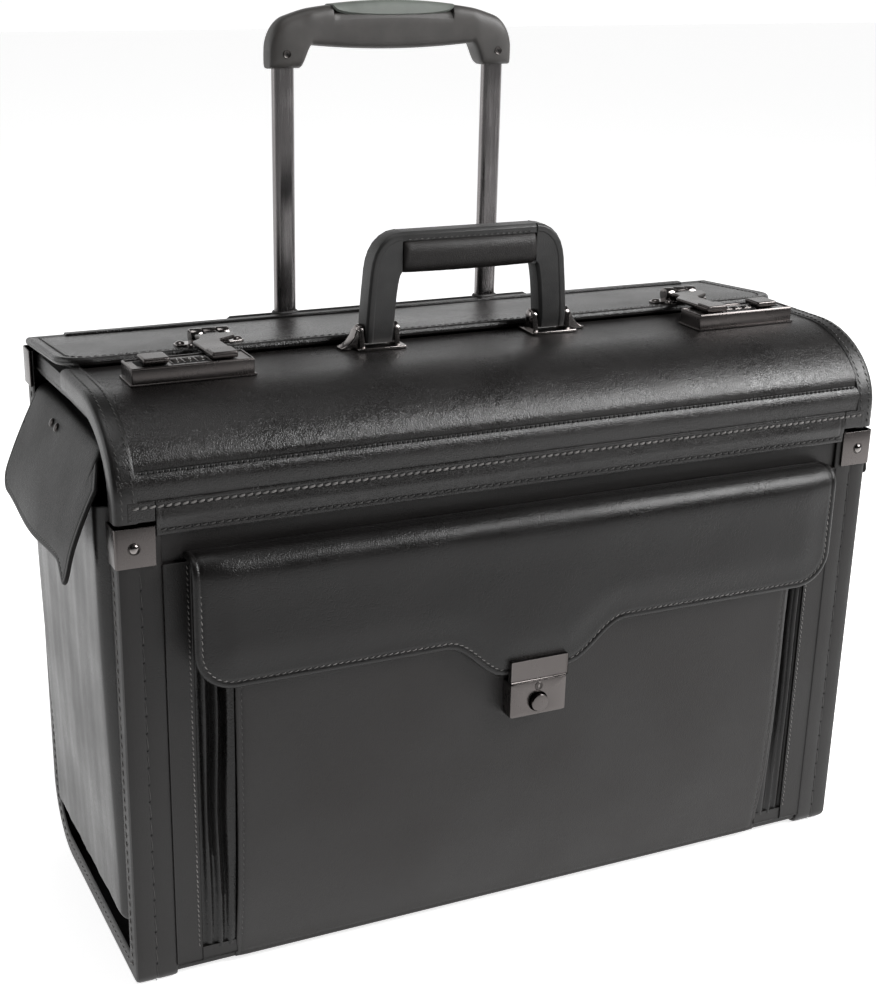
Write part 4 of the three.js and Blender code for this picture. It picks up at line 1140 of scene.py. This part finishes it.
def locks():
    for side, s in SIDES:
        def fx(u, v, w, s=s):
            return (s * u, v, w)

        body = counter_clockwise([(s * x, y) for x, y in box_outline(162.6, 240.2, -47.8, -23.6, 1.0)])
        block = plate(body, 377.2, LOCK_TOP - 0.3, 0.5, flat_xy)
        inner = inset(body, 1.9)
        rim = [(inset(body, 0.1), 386.0), (inset(body, 0.05), LOCK_TOP - 0.3),
            (inset(body, 0.55), LOCK_TOP + 0.35), (inset(body, 1.3), LOCK_TOP + 0.35),
            (inner, LOCK_TOP - 0.25), (inner, 386.0)]
        rim = loft([[(x, y, z) for x, y in ring] for ring, z in rim], loop=True)
        build(f"{side}_lock_body", merged(block, rim), NICKEL, "front_lid", replaces=f"{side}_lock_case")
        build(f"{side}_lock_flange", plate(box_outline(161.4, 241.4, -49.2, -22.5, 1.2), 377.05, 378.3,
            0.35, fx), NICKEL, "front_lid")
        wells = [box_outline(LOCK_X + o - 3.6, LOCK_X + o + 3.6, -41.8, -30.2, 0.5) for o in DIAL_OFFSETS]
        wells.append(box_outline(LOCK_X + 14.5, LOCK_X + 33.5, -39.5, -28.5, 0.5))
        wells.append(box_outline(173.5, 186.5, -40, -27.0, 0.5))
        # Near-black plates just under the lock's top, in its openings round the dials and the slide: painted
        # shade in the wells.
        dark = [plate(w, LOCK_TOP - 0.5, LOCK_TOP - 0.12, 0.05, fx) for w in wells]
        build(f"{side}_lock_wells", merged(*dark), HOLE_SHADE, "front_lid", sharp=30)
        build(f"{side}_lock_axle", revolve([(1.1, -12.5), (1.1, 12.5)], (s * LOCK_X, DIAL_Y, DIAL_Z), "x",
            12), BLACK_NICKEL, "front_lid")
        bars = [plate(box_outline(s * (LOCK_X + o) - 0.4, s * (LOCK_X + o) + 0.4, -42, -30, 0.2),
            LOCK_TOP - 0.5, LOCK_TOP + 0.25, 0.2, flat_xy) for o in (-12, -4, 4, 12)]
        build(f"{side}_lock_bars", merged(*bars), NICKEL_BRIGHT, "front_lid")
        for i, offset in enumerate(DIAL_OFFSETS):
            dial(side, i + 1, s * (LOCK_X + offset), i + (3 if s > 0 else 0))
        slide(side, s)


def dial(side, index, x, turn):
    """A number wheel with ten facets, notches between them and plain numerals."""
    ring = []
    count = 60
    for k in range(count):
        a = 2 * math.pi * k / count
        notch = 0.45 if k % 6 == 0 else (0.12 if k % 6 in (1, 5) else 0.0)
        ring.append((a, 5.15 - notch))
    sections = []
    for half, scale in ((-2.95, 0.3), (-2.95, 0.93), (-2.6, 1.0), (2.6, 1.0), (2.95, 0.93), (2.95, 0.3)):
        sections.append([(x + half, DIAL_Y + r * scale * math.sin(a),
            DIAL_Z + r * scale * math.cos(a)) for a, r in ring])
    body = f"{side}_dial_{index}"
    build(f"{body}_wheel", loft(sections, loop=True), BLACK_NICKEL, body,
        replaces=body)
    numerals = []
    for n in range(10):
        curve = bpy.data.curves.new("numeral", "FONT")
        curve.body = str((n + turn) % 10)
        curve.size = 0.0034
        curve.extrude = 0.00004
        curve.align_x = "CENTER"
        curve.align_y = "CENTER"
        curve.resolution_u = 2
        obj = bpy.data.objects.new("numeral", curve)
        bpy.context.scene.collection.objects.link(obj)
        bpy.context.view_layer.update()
        mesh = bpy.data.meshes.new_from_object(obj.evaluated_get(bpy.context.evaluated_depsgraph_get()))
        a = 2 * math.pi * (n + 0.5) / 10
        spin = Matrix.Rotation(-a, 4, "X")
        mesh.transform(spin @ Matrix.Translation((0, 0, 0.00517)))
        mesh.transform(Matrix.Translation(metres(x, DIAL_Y, DIAL_Z)))
        numerals.append(mesh)
        bpy.data.objects.remove(obj)
        bpy.data.curves.remove(curve)
    bm = bmesh.new()
    for mesh in numerals:
        bm.from_mesh(mesh)
        bpy.data.meshes.remove(mesh)
    joined = bpy.data.meshes.new(f"{body}_numerals")
    bm.to_mesh(joined)
    bm.free()
    joined.materials.clear()
    joined.materials.append(DIGIT)
    obj = bpy.data.objects.new(f"{body}_numerals", joined)
    bpy.context.scene.collection.objects.link(obj)
    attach(obj, body)


def slide(side, s):
    """The lock's thumb slide: a domed cap over a stem."""
    outline = fillet([(LOCK_X + 13.5, -42), (LOCK_X + 30, -42), (LOCK_X + 30, -26), (LOCK_X + 13.5, -26)],
        1.6)
    cap = plate([(s * x, y) for x, y in outline], 388.0, 391.6, 1.2, flat_xy, 4)
    build(f"{side}_lock_thumb", merged(cap, plate([(s * x, y) for x, y in box_outline(LOCK_X + 17,
        LOCK_X + 25, -38, -30, 0.5)], 382.6, 388.6, 0.2, flat_xy)), NICKEL, f"{side}_lock_slide", sharp=34,
        replaces=f"{side}_lock_slide")


# ------------------------------------------------------------------ hasps
HASP_Y, HASP_Z = 22.0, 386.7


def hasps():
    for side, sign in SIDES:
        tip = sign * 180.0
        hinge = tip + 10.5
        base = []
        ears = fillet([(hinge - 23, 17.5), (hinge - 12, 15.5), (hinge + 12, 15.5), (hinge + 23, 17.5),
            (hinge + 23, 26), (hinge + 14, 29.0), (hinge - 14, 29.0), (hinge - 23, 26)], 2.5)
        tilt = 7.5 / 99

        def place(u, v, w):
            return (u, v, w - (v - 5.2) * tilt + 382.75)

        base.append(plate(ears, 0.0, 1.5, 0.45, place))
        for x0, x1 in ((-13, -5), (5, 13)):
            base.append(knuckle(hinge + x0, hinge + x1))
            leg = [(HASP_Y - 3.4, 381.9), (HASP_Y + 3.4, 381.6), (HASP_Y + 3.4, HASP_Z),
                (HASP_Y - 3.4, HASP_Z)]
            base.append(plate(leg, hinge + x0 + 0.1, hinge + x1 - 0.1, 0.3, flat_yz))
        build(f"{side}_hasp_mount", merged(*base), NICKEL_BRIGHT, "rear_lid", sharp=34,
            replaces=f"{side}_hasp_base")
        rivets = [revolve(dome(3.1, 1.7), place(hinge + dx, 21.5, 1.5), "z", 26) for dx in (-19.5, 19.5)]
        build(f"{side}_hasp_rivets", merged(*rivets), NICKEL_BRIGHT, "rear_lid")
        hasp_arm(side, tip, hinge)


def knuckle(x0, x1):
    profile = [(3.9, x0), (4.6, x0 + 0.15), (4.8, x0 + 0.55), (4.8, x1 - 0.55), (4.6, x1 - 0.15), (3.9, x1)]
    return revolve(profile, (0, HASP_Y, HASP_Z + 0.5), "x", 30)


def hasp_arm(side, tip, hinge):
    def place(u, v, w):
        rise = 0.9 * smooth((-26 - v) / 4.0)
        return (u, v, 387.95 + w * (1 + 0.35 * rise))

    outline = [(tip - 8.5, -43.2), (tip + 8.5, -43.2), (tip + 8.5, -9), (tip + 9.2, -4), (hinge + 11.5, 3),
        (hinge + 12.5, 8), (hinge + 12.5, 12.5), (hinge - 12.5, 12.5), (hinge - 12.5, 8), (hinge - 11.5, 3),
        (tip - 8.7, -4), (tip - 8.5, -9)]
    arm = plate(fillet(outline, [1.2, 1.2, 1, 4, 4, 2, 1, 1, 2, 4, 4, 1]), 0.0, 2.5, 0.7, place)
    neck = plate(box_outline(hinge - 4.5, hinge + 4.5, 11.5, 21.5, 0.2), 0.1, 2.2, 0.3, place)
    lip = plate(box_outline(tip - 8.0, tip + 8.0, -43.5, -29.5, 1.2), 390.2, 392.2, 0.8, flat_xy, 4)
    tongue = plate(box_outline(tip - 3.5, tip + 3.5, -37, -31, 0.5), 382.1, 389.0, 0.3, flat_xy)
    barrel = knuckle(hinge - 4.6, hinge + 4.6)
    build(f"{side}_hasp_plate", merged(arm, neck, lip, tongue, barrel), NICKEL, f"{side}_hasp", sharp=34,
        replaces=f"{side}_hasp")
    build(f"{side}_hasp_stud", revolve(dome(2.7, 1.7), (hinge - 15.5, 10.0, 384.0), "z", 22), NICKEL_BRIGHT,
        "rear_lid")


# ------------------------------------------------------------------ carry handle
PIVOT_Y, PIVOT_Z = -8.0, 388.0


def carry_handle():
    depth = 8.0
    outer = [(74.5, 381), (74.5, 388), (74.2, 396), (73.6, 404), (72.9, 412), (72.1, 420), (71.3, 428),
        (70.2, 434), (68.2, 439.6), (65, 444.7), (60.5, 448.8), (55.5, 451.4), (49.4, 452.4)]
    inner = [(54.1, 381), (54.1, 388), (53.7, 396), (53.0, 404), (52.2, 412), (51.3, 418), (50.5, 422),
        (50.1, 423.4), (49.8, 424.2), (49.65, 424.6), (49.55, 424.8), (49.45, 424.9), (49.4, 424.9)]
    sections = []
    for (x0, z0), (x1, z1) in zip(inner, outer):
        ring = []
        taper = 0.82 + 0.18 * smooth((z1 - 380) / 12)
        span = math.hypot(x1 - x0, z1 - z0)
        section = [(0, -depth + 2.4), (2.0, -depth + 0.5), (span - 5.4, -depth + 0.5), (span - 4.6, -depth),
            (span - 1.4, -depth), (span, -depth + 1.6), (span, depth - 1.6), (span - 1.4, depth),
            (span - 4.6, depth), (span - 5.4, depth - 0.5), (2.0, depth - 0.5), (0, depth - 2.4)]
        for a, b in fillet(section, 0.7, 2):
            t = a / span
            ring.append((x0 + (x1 - x0) * t, PIVOT_Y + b * taper, z0 + (z1 - z0) * t))
        sections.append(ring)
    arms = [loft([[(sign * x, y, z) for x, y, z in ring] for ring in sections]) for sign in (-1, 1)]
    spine = fillet([(-7.4, 446.2), (7.4, 446.2), (7.4, 450.4), (5.6, 452.3), (-5.6, 452.3), (-7.4, 450.4)],
        0.6)
    spine = plate(spine, -50.5, 50.5, 0.1, lambda u, v, w: (w, PIVOT_Y + u, v))
    build("carry_handle_frame", merged(*arms, spine), HANDLE_PLASTIC, "carry_handle", sharp=40,
        replaces="handle_frame")
    grip()
    brackets()


def grip():
    """The padded wrap of the grip: fuller in the middle, pulled in at both ends, with a seam below."""
    sections = []
    xs = spacing(-48.9, 48.9, [0, 0.4, 1.0, 2.0, 3.4, 5.5, 8], 4)
    for x in xs:
        t = 1 - (abs(x) / 48.9) ** 2
        end = min(1.0, (48.9 - abs(x)) / 3.2)
        pull = 0.80 + 0.20 * circle(1 - end)
        half_y = (10.2 + 1.6 * t) * pull
        low = 425.2 - 0.5 * t + (1 - pull) * 10
        high = 447.6 + 0.3 * t - (1 - pull) * 6
        ring = []
        for k in range(40):
            a = 2 * math.pi * k / 40
            c, s = math.cos(a), math.sin(a)
            yy = half_y * power(c, 0.72)
            zz = (high + low) / 2 + (high - low) / 2 * power(s, 0.78)
            wrinkle = 0.16 * math.sin(x * 0.9 + 2.2 * math.sin(a * 2)) * (0.4 + 0.6 * abs(c))
            ring.append((x, PIVOT_Y + yy + wrinkle * c, zz + wrinkle * s * 0.5))
        sections.append(ring)
    obj = build("handle_pad", loft(sections), POCKET_VINYL, "carry_handle", sharp=60,
        replaces="handle_grip")
    rows = [thread_row([(x, PIVOT_Y + 7.6 * s, 447.2) for x in (-46.5, 46.5)], (0, 0.3 * s, 1), 4.2, 3.0,
        0.3, 0.1) for s in (-1, 1)]
    build("handle_pad_stitches", merged(*rows), THREAD, "carry_handle")


def brackets():
    base = 377.3
    for side, sign in SIDES:
        def fx(u, v, w, sign=sign):
            return (sign * w, u, v)

        def fp(u, v, w, sign=sign):
            return (sign * u, v, w)

        foot = plate(box_outline(47, 81.5, -20, 3.5, 1.5), base - 0.1, base + 1.8, 0.6, fp)
        parts = [foot]
        for x0, x1 in ((50.0, 53.6), (74.9, 78.5)):
            ear = [(-15, base + 0.5), (-1, base + 0.5)] + arc(PIVOT_Y, PIVOT_Z, 5.2, 5.2, 0, 180, 12)
            parts.append(plate(ear, x0, x1, 0.5, fx))
        wing = [(78.2, base), (91.0, base), (91.2, base + 1.4), (88.0, base + 2.4), (84.6, base + 4.6),
            (82.0, base + 8), (80.2, base + 12.4), (78.2, base + 13.4)]
        parts.append(plate([(sign * x, z) for x, z in wing], PIVOT_Y - 4.6, PIVOT_Y + 4.6, 0.9, flat_xz))
        build(f"{side}_bracket_metal", merged(*parts), NICKEL_BRIGHT, "front_lid", sharp=32,
            replaces=f"{side}_handle_bracket")
        pin = []
        for x, direction in ((50.0, "-x"), (78.5, "x")):
            axis = direction if sign > 0 else ("x" if direction == "-x" else "-x")
            pin.append(revolve(dome(4.4, 1.6), (sign * x, PIVOT_Y, PIVOT_Z), axis, 26))
        pin.append(revolve([(2.5, -13), (2.5, 13)], (sign * 64.3, PIVOT_Y, PIVOT_Z), "x", 16))
        build(f"{side}_bracket_pin", merged(*pin), NICKEL_BRIGHT, "front_lid")


# ------------------------------------------------------------------ trolley
TUBE_X, TUBE_Y = 80.5, 118.5


def tube_ring(cx, width, depth, z, steps=7):
    r = depth / 2 - 0.05
    x = width / 2 - r
    ring = arc(cx + x, TUBE_Y, r, r, -90, 90, steps * 2) + arc(cx - x, TUBE_Y, r, r, 90, 270, steps * 2)
    return [(p, q, z) for p, q in ring]


def hollow_tube(cx, width, depth, z0, z1, wall=1.2):
    outer0, outer1 = tube_ring(cx, width, depth, z0), tube_ring(cx, width, depth, z1)
    inner0 = tube_ring(cx, width - 2 * wall, depth - 2 * wall, z0)
    inner1 = tube_ring(cx, width - 2 * wall, depth - 2 * wall, z1)
    lip = tube_ring(cx, width - 0.5, depth - 0.5, z1 + 0.25)
    return loft([outer0, outer1, lip, inner1, inner0], loop=True)


def trolley():
    for side, sign in SIDES:
        build(f"{side}_upper_tube", hollow_tube(sign * TUBE_X, 16, 9, 206, 555.6), ALUMINIUM,
            "trolley_upper", replaces=f"{side}_inner_tube")
        build(f"{side}_lower_tube", hollow_tube(sign * TUBE_X, 19.2, 12.2, 17.8, 373.0), ALUMINIUM,
            "trolley_middle", replaces=f"{side}_middle_tube")
        rings = ((19.2, 373.0), (19.2, 375.1), (18.2, 375.8), (16.5, 375.8), (16.5, 373.0))
        collar = loft([tube_ring(sign * TUBE_X, width, width - 7, z) for width, z in rings], loop=True)
        build(f"{side}_tube_collar", collar, PLASTIC, "trolley_middle")
    housing()
    trolley_grip()


def housing():
    outline = counter_clockwise(box_outline(-122, 122, 12, 368, 9, 6))
    levels = [(6, 126.4), (2.5, 124.5), (2.5, 106.5), (0, 106.5)]
    for k in range(6):
        a = math.radians(90 * k / 5)
        levels.append((6.5 * (1 - math.cos(a)), 122.4 + 6.5 * math.sin(a)))
    levels.append((9.5, 128.9))
    rings = [[(x, y, z) for x, z in (inset(outline, off) if off else outline)] for off, y in levels]
    build("trolley_cover", loft(rings), BOARD_VINYL, replaces="trolley_housing")
    line = inset(outline, 9.0)
    path = [(x, 128.75, z) for x, z in line] + [(line[0][0], 128.75, line[0][1])]
    build("trolley_cover_stitches", thread_row(path, (0, 1, 0), 5.0, 3.5, 0.34, 0.05), THREAD)
    bezel_outline = [(-123, 108.4), (123, 108.4), (123, 129.4), (-123, 129.4)]

    def place(u, v, w):
        slope = max(0.0, (abs(u) - 114) / 9.0)
        return (u, v, w - max(0.0, w - 368.4) * slope * 0.75)

    build("trolley_bezel_cap", plate(fillet(bezel_outline, [1, 1, 4, 4]), 368.35, 375.4, 1.3, place),
        PLASTIC, sharp=34, replaces="trolley_bezel")


def grip_top(x):
    a = abs(x)
    return 588 - 10.5 * (a / 92) ** 2 - 3.0 * smooth((a - 60) / 32)


def grip_under(x):
    a = abs(x)
    bow = 556 + 3.8 * (a / 69) ** 2
    if a < 61:
        return bow
    return bow + (544 - bow) * smooth((a - 61) / 9.0)


def grip_ring(x):
    """Section of the trolley grip at x: fuller at the front, softened at the top, rounded off at the ends."""
    a = abs(x)
    end = min(1.0, (92.0 - a) / 13.0)
    shrink = circle(1 - max(0.0, end))
    top = grip_top(x) - 17 * (1 - shrink)
    low = grip_under(x)
    half = 10.0 if a > 70 else 8.8 + 1.2 * smooth((a - 40) / 30)
    half *= 0.62 + 0.38 * shrink
    mid = (top + low) / 2
    ring = []
    for k in range(44):
        t = 2 * math.pi * k / 44
        c, s = math.cos(t), math.sin(t)
        y = half * power(c, 0.62)
        z = mid + (top - low) / 2 * power(s, 0.55 if s > 0 else 0.4)
        if a > 66 and s < 0:
            z = max(z, 544.0)
        if s > 0:
            z -= 4.2 * smooth((45.9 - a) / 1.2) * smooth(s * 2)
        ring.append((x, TUBE_Y + y, z))
    return ring


def trolley_grip():
    ends = (44.5, 45.1, 45.7, 46.2, 61, 62.5, 64, 65.5, 67, 68.5, 70, 73, 76, 79, 81, 83, 85, 87, 88.5,
        89.8, 90.8, 91.5, 92)
    xs = sorted({round(v, 3) for v in np.linspace(-60, 60, 25)} | {s * v for s in (-1, 1) for v in ends})
    build("trolley_grip_body", loft([grip_ring(x) for x in xs]), GRIP_PLASTIC, "trolley_upper", sharp=40,
        replaces="trolley_grip")
    sections = []
    for x in np.linspace(-45.5, 45.5, 45):
        reach = 8.5 * circle(x / 45.6) + 0.4
        ring = []
        top = grip_top(x)
        for k in range(17):
            t = -1 + k / 8.0
            y = 8.7 * power(t, 0.62)
            fall = reach * abs(t) ** 3.2
            ring.append((x, TUBE_Y + y * 1.02, top + 0.5 - fall))
        low = [(px, TUBE_Y + (py - TUBE_Y) * 0.8, pz - 1.5) for px, py, pz in ring[::-1]]
        sections.append(ring + low)
    build("trolley_grip_button", loft(sections), INSERT, "trolley_button", sharp=50,
        replaces="trolley_button")
    screws, slot_shades = [], []
    for sign in (-1, 1):
        centre = (sign * 80.5, TUBE_Y - 10.0, 554.0)
        head = [(2.9, -0.8), (2.9, 0.1), (2.6, 0.35), (2.2, 0.15), (0.05, 0.12)]
        screws.append(revolve(head, centre, "-y", 26))
        for a in (0.5, 0.5 + math.pi / 2):
            c, s = math.cos(a), math.sin(a)
            cross = [(centre[0] + c * p - s * q, centre[2] + s * p + c * q) for p, q in box_outline(-1.5,
                1.5, -0.3, 0.3)]
            # Near-black cross plates on the screw heads: painted shade of the cross slots.
            slot_shades.append(plate(cross, centre[1] - 0.05, centre[1] - 0.22, 0.02, flat_xz))
    build("trolley_screws", merged(*screws), BLACK_NICKEL, "trolley_upper")
    build("trolley_screw_slots", merged(*slot_shades), HOLE_SHADE, "trolley_upper", sharp=30)


# ------------------------------------------------------------------ wheels
def wheels():
    for side, sign in SIDES:
        centre = (sign * 219.5, 92.0, 24.0)
        tyre = [(17.4, -9.4), (18.4, -10.4), (20.6, -11.2), (22.6, -10.0), (23.7, -6.8), (24.0, -3.2),
            (23.55, -2.6), (23.55, -1.9), (24.0, -1.3), (24.0, 1.3), (23.55, 1.9), (23.55, 2.6),
            (24.0, 3.2), (23.7, 6.8), (22.6, 10.0), (20.6, 11.2), (18.4, 10.4), (17.4, 9.4)]
        build(f"{side}_wheel_tyre", revolve_ring(tyre, centre), RUBBER, f"{side}_wheel", sharp=40,
            replaces=f"{side}_wheel")
        hub = [(3.3, -11.4), (7.4, -11.4), (8.0, -10.6), (8.4, -8.6), (15.2, -7.4), (16.4, -9.6),
            (17.5, -9.8), (17.5, 9.8), (16.4, 9.6), (15.2, 7.4), (8.4, 8.6), (8.0, 10.6), (7.4, 11.4),
            (3.3, 11.4)]
        build(f"{side}_wheel_hub", revolve_ring(hub, centre), HUB, f"{side}_wheel", sharp=40)


def revolve_ring(profile, centre, segments=56):
    sections = []
    for i in range(segments):
        a = 2 * math.pi * i / segments
        sections.append([(centre[0] + h, centre[1] + r * math.cos(a),
            centre[2] + r * math.sin(a)) for r, h in profile])
    return loft(sections, loop=True)


# ------------------------------------------------------------------ lining
def lining():
    def sheet(us, low, high, place):
        return panel(us, low, high, place, 0.5, 0.25, 14, fine=[0, 1, 3], wobble=0.0)

    us = spacing(-248, 248, [0, 1, 3], 16)
    parts = [sheet(us, 9.2, 309.0, lambda u, v, w: (u, -101.7 + w, v)),
        sheet(us, 60.0, 366.0, lambda u, v, w: (u, 101.6 - w, v)),
        sheet(us, -101.0, 58.8, lambda u, v, w: (u, v, 8.8 + w))]
    build("body_lining", merged(*parts), LINING)
    for side, sign in SIDES:
        part = sheet(spacing(-98, 58, [0, 1, 3], 14), 9.5, 345.0 - 60,
            lambda u, v, w, s=sign: (s * (248.5 - w), u, v))
        rear = sheet(spacing(59, 100, [0, 1, 3], 14), 60.0, 350.0,
            lambda u, v, w, s=sign: (s * (248.5 - w), u, v))
        build(f"{side}_end_lining", merged(part, rear), LINING)


# ------------------------------------------------------------------ carried-over CAD nodes
def cad_materials():
    finish = {"left_wheel_housing": PLASTIC, "right_wheel_housing": PLASTIC, "left_axle": NICKEL,
        "right_axle": NICKEL, "trolley_base_frame": ALUMINIUM,}
    for name, material in finish.items():
        obj = frame["nodes"][name]
        if not obj.material_slots:
            obj.data.materials.append(material)
        for slot in obj.material_slots:
            slot.material = material


# ------------------------------------------------------------------ stage
def area_light(name, place, aim, size, power, colour=(1, 1, 1)):
    data = bpy.data.lights.new(name, "AREA")
    data.shape = "RECTANGLE"
    data.size, data.size_y = size
    data.energy = power
    data.color = colour
    obj = bpy.data.objects.new(name, data)
    obj.location = place
    direction = Vector(aim) - Vector(place)
    obj.rotation_euler = direction.to_track_quat("-Z", "Y").to_euler()
    bpy.context.scene.collection.objects.link(obj)


def world():
    """White behind the case and low down; dark overhead and on the camera's side."""
    w = bpy.data.worlds.new("studio")
    bpy.context.scene.world = w
    w.use_nodes = True
    nodes, links = w.node_tree.nodes, w.node_tree.links
    nodes.clear()
    out = nodes.new("ShaderNodeOutputWorld")
    back = nodes.new("ShaderNodeBackground")
    links.new(back.outputs[0], out.inputs[0])
    coord = nodes.new("ShaderNodeTexCoord")
    split = nodes.new("ShaderNodeSeparateXYZ")
    links.new(coord.outputs["Generated"], split.inputs[0])

    def ramp(axis, a, b, low, high):
        node = nodes.new("ShaderNodeMapRange")
        node.interpolation_type = "SMOOTHSTEP"
        links.new(split.outputs[axis], node.inputs["Value"])
        for key, value in ((1, a), (2, b), (3, low), (4, high)):
            node.inputs[key].default_value = value
        return node.outputs[0]

    product = nodes.new("ShaderNodeMath")
    product.operation = "MULTIPLY_ADD"
    links.new(ramp("Y", -0.25, 0.25, 0.0, 1.0), product.inputs[0])
    links.new(ramp("Z", 0.3, 0.62, 1.0, 0.06), product.inputs[1])
    product.inputs[2].default_value = 0.03
    links.new(product.outputs[0], back.inputs["Strength"])
    back.inputs["Color"].default_value = (1, 1, 1, 1)


def stage():
    size = 9.0
    mesh = bpy.data.meshes.new("floor")
    mesh.from_pydata([(-size, -size, 0), (size, -size, 0), (size, size, 0), (-size, size, 0)], [],
        [(0, 1, 2, 3)])
    floor = bpy.data.objects.new("floor", mesh)
    bpy.context.scene.collection.objects.link(floor)
    s = Shader("floor_white", roughness=0.9, specular_ior_level=0.1)
    s.colour(s.mix(s.remap(s.noise(3, 2), 0.3, 0.7, 0, 1), (0.90, 0.90, 0.90), (0.92, 0.92, 0.92)))
    split = s.node("ShaderNodeSeparateXYZ", {0: s.coord})
    near = s.node("ShaderNodeMapRange", {"Value": split.outputs["Y"], 1: -0.9, 2: -0.15, 3: 0.1, 4: 0.8},
        interpolation_type="SMOOTHSTEP")
    s.link(near.outputs[0], s.bsdf.inputs["Emission Strength"])
    s.bsdf.inputs["Emission Color"].default_value = (1, 1, 1, 1)
    mesh.materials.append(s.mat)
    world()
    area_light("front_right", (1.42, -1.02, 1.5), (0.1, -0.1, 0.33), (1.15, 1.0), 60)
    area_light("overhead", (-0.2, -0.1, 2.6), (0, 0, 0.2), (1.2, 1.0), 10)
    area_light("left_soft", (-2.4, 0.6, 1.1), (-0.2, 0, 0.25), (1.0, 1.4), 8)


def camera():
    yaw, pitch, roll = math.radians(25.2), math.radians(20.3), math.radians(1.0)
    forward = Vector((math.sin(yaw) * math.cos(pitch), math.cos(yaw) * math.cos(pitch), -math.sin(pitch)))
    right = Vector((math.cos(yaw), -math.sin(yaw), 0))
    up = right.cross(forward)
    r = right * math.cos(roll) + up * math.sin(roll)
    u = up * math.cos(roll) - right * math.sin(roll)
    data = bpy.data.cameras.new("camera")
    data.sensor_fit = "VERTICAL"
    data.sensor_height = 36
    data.lens = 1651.1 / 1000 * 36
    data.shift_x = (438 - 413.5) / 1000
    data.shift_y = (531.4 - 500) / 1000
    data.clip_end = 50
    obj = bpy.data.objects.new("camera", data)
    basis = Matrix((r, u, -forward)).transposed().to_4x4()
    basis.translation = metres(-492.2, -980.2, 640.3)
    obj.matrix_world = basis
    bpy.context.scene.collection.objects.link(obj)
    bpy.context.scene.camera = obj


bpy.context.scene.view_settings.view_transform = "Standard"
camera()
front_board()
other_boards()
hinge_strip()
front_lid()
edge_bands()
corner_plates()
side_rims()
pocket()
pocket_flap()
pocket_lock()
pouches()
rear_lid()
locks()
hasps()
carry_handle()
trolley()
wheels()
lining()
cad_materials()
stage()
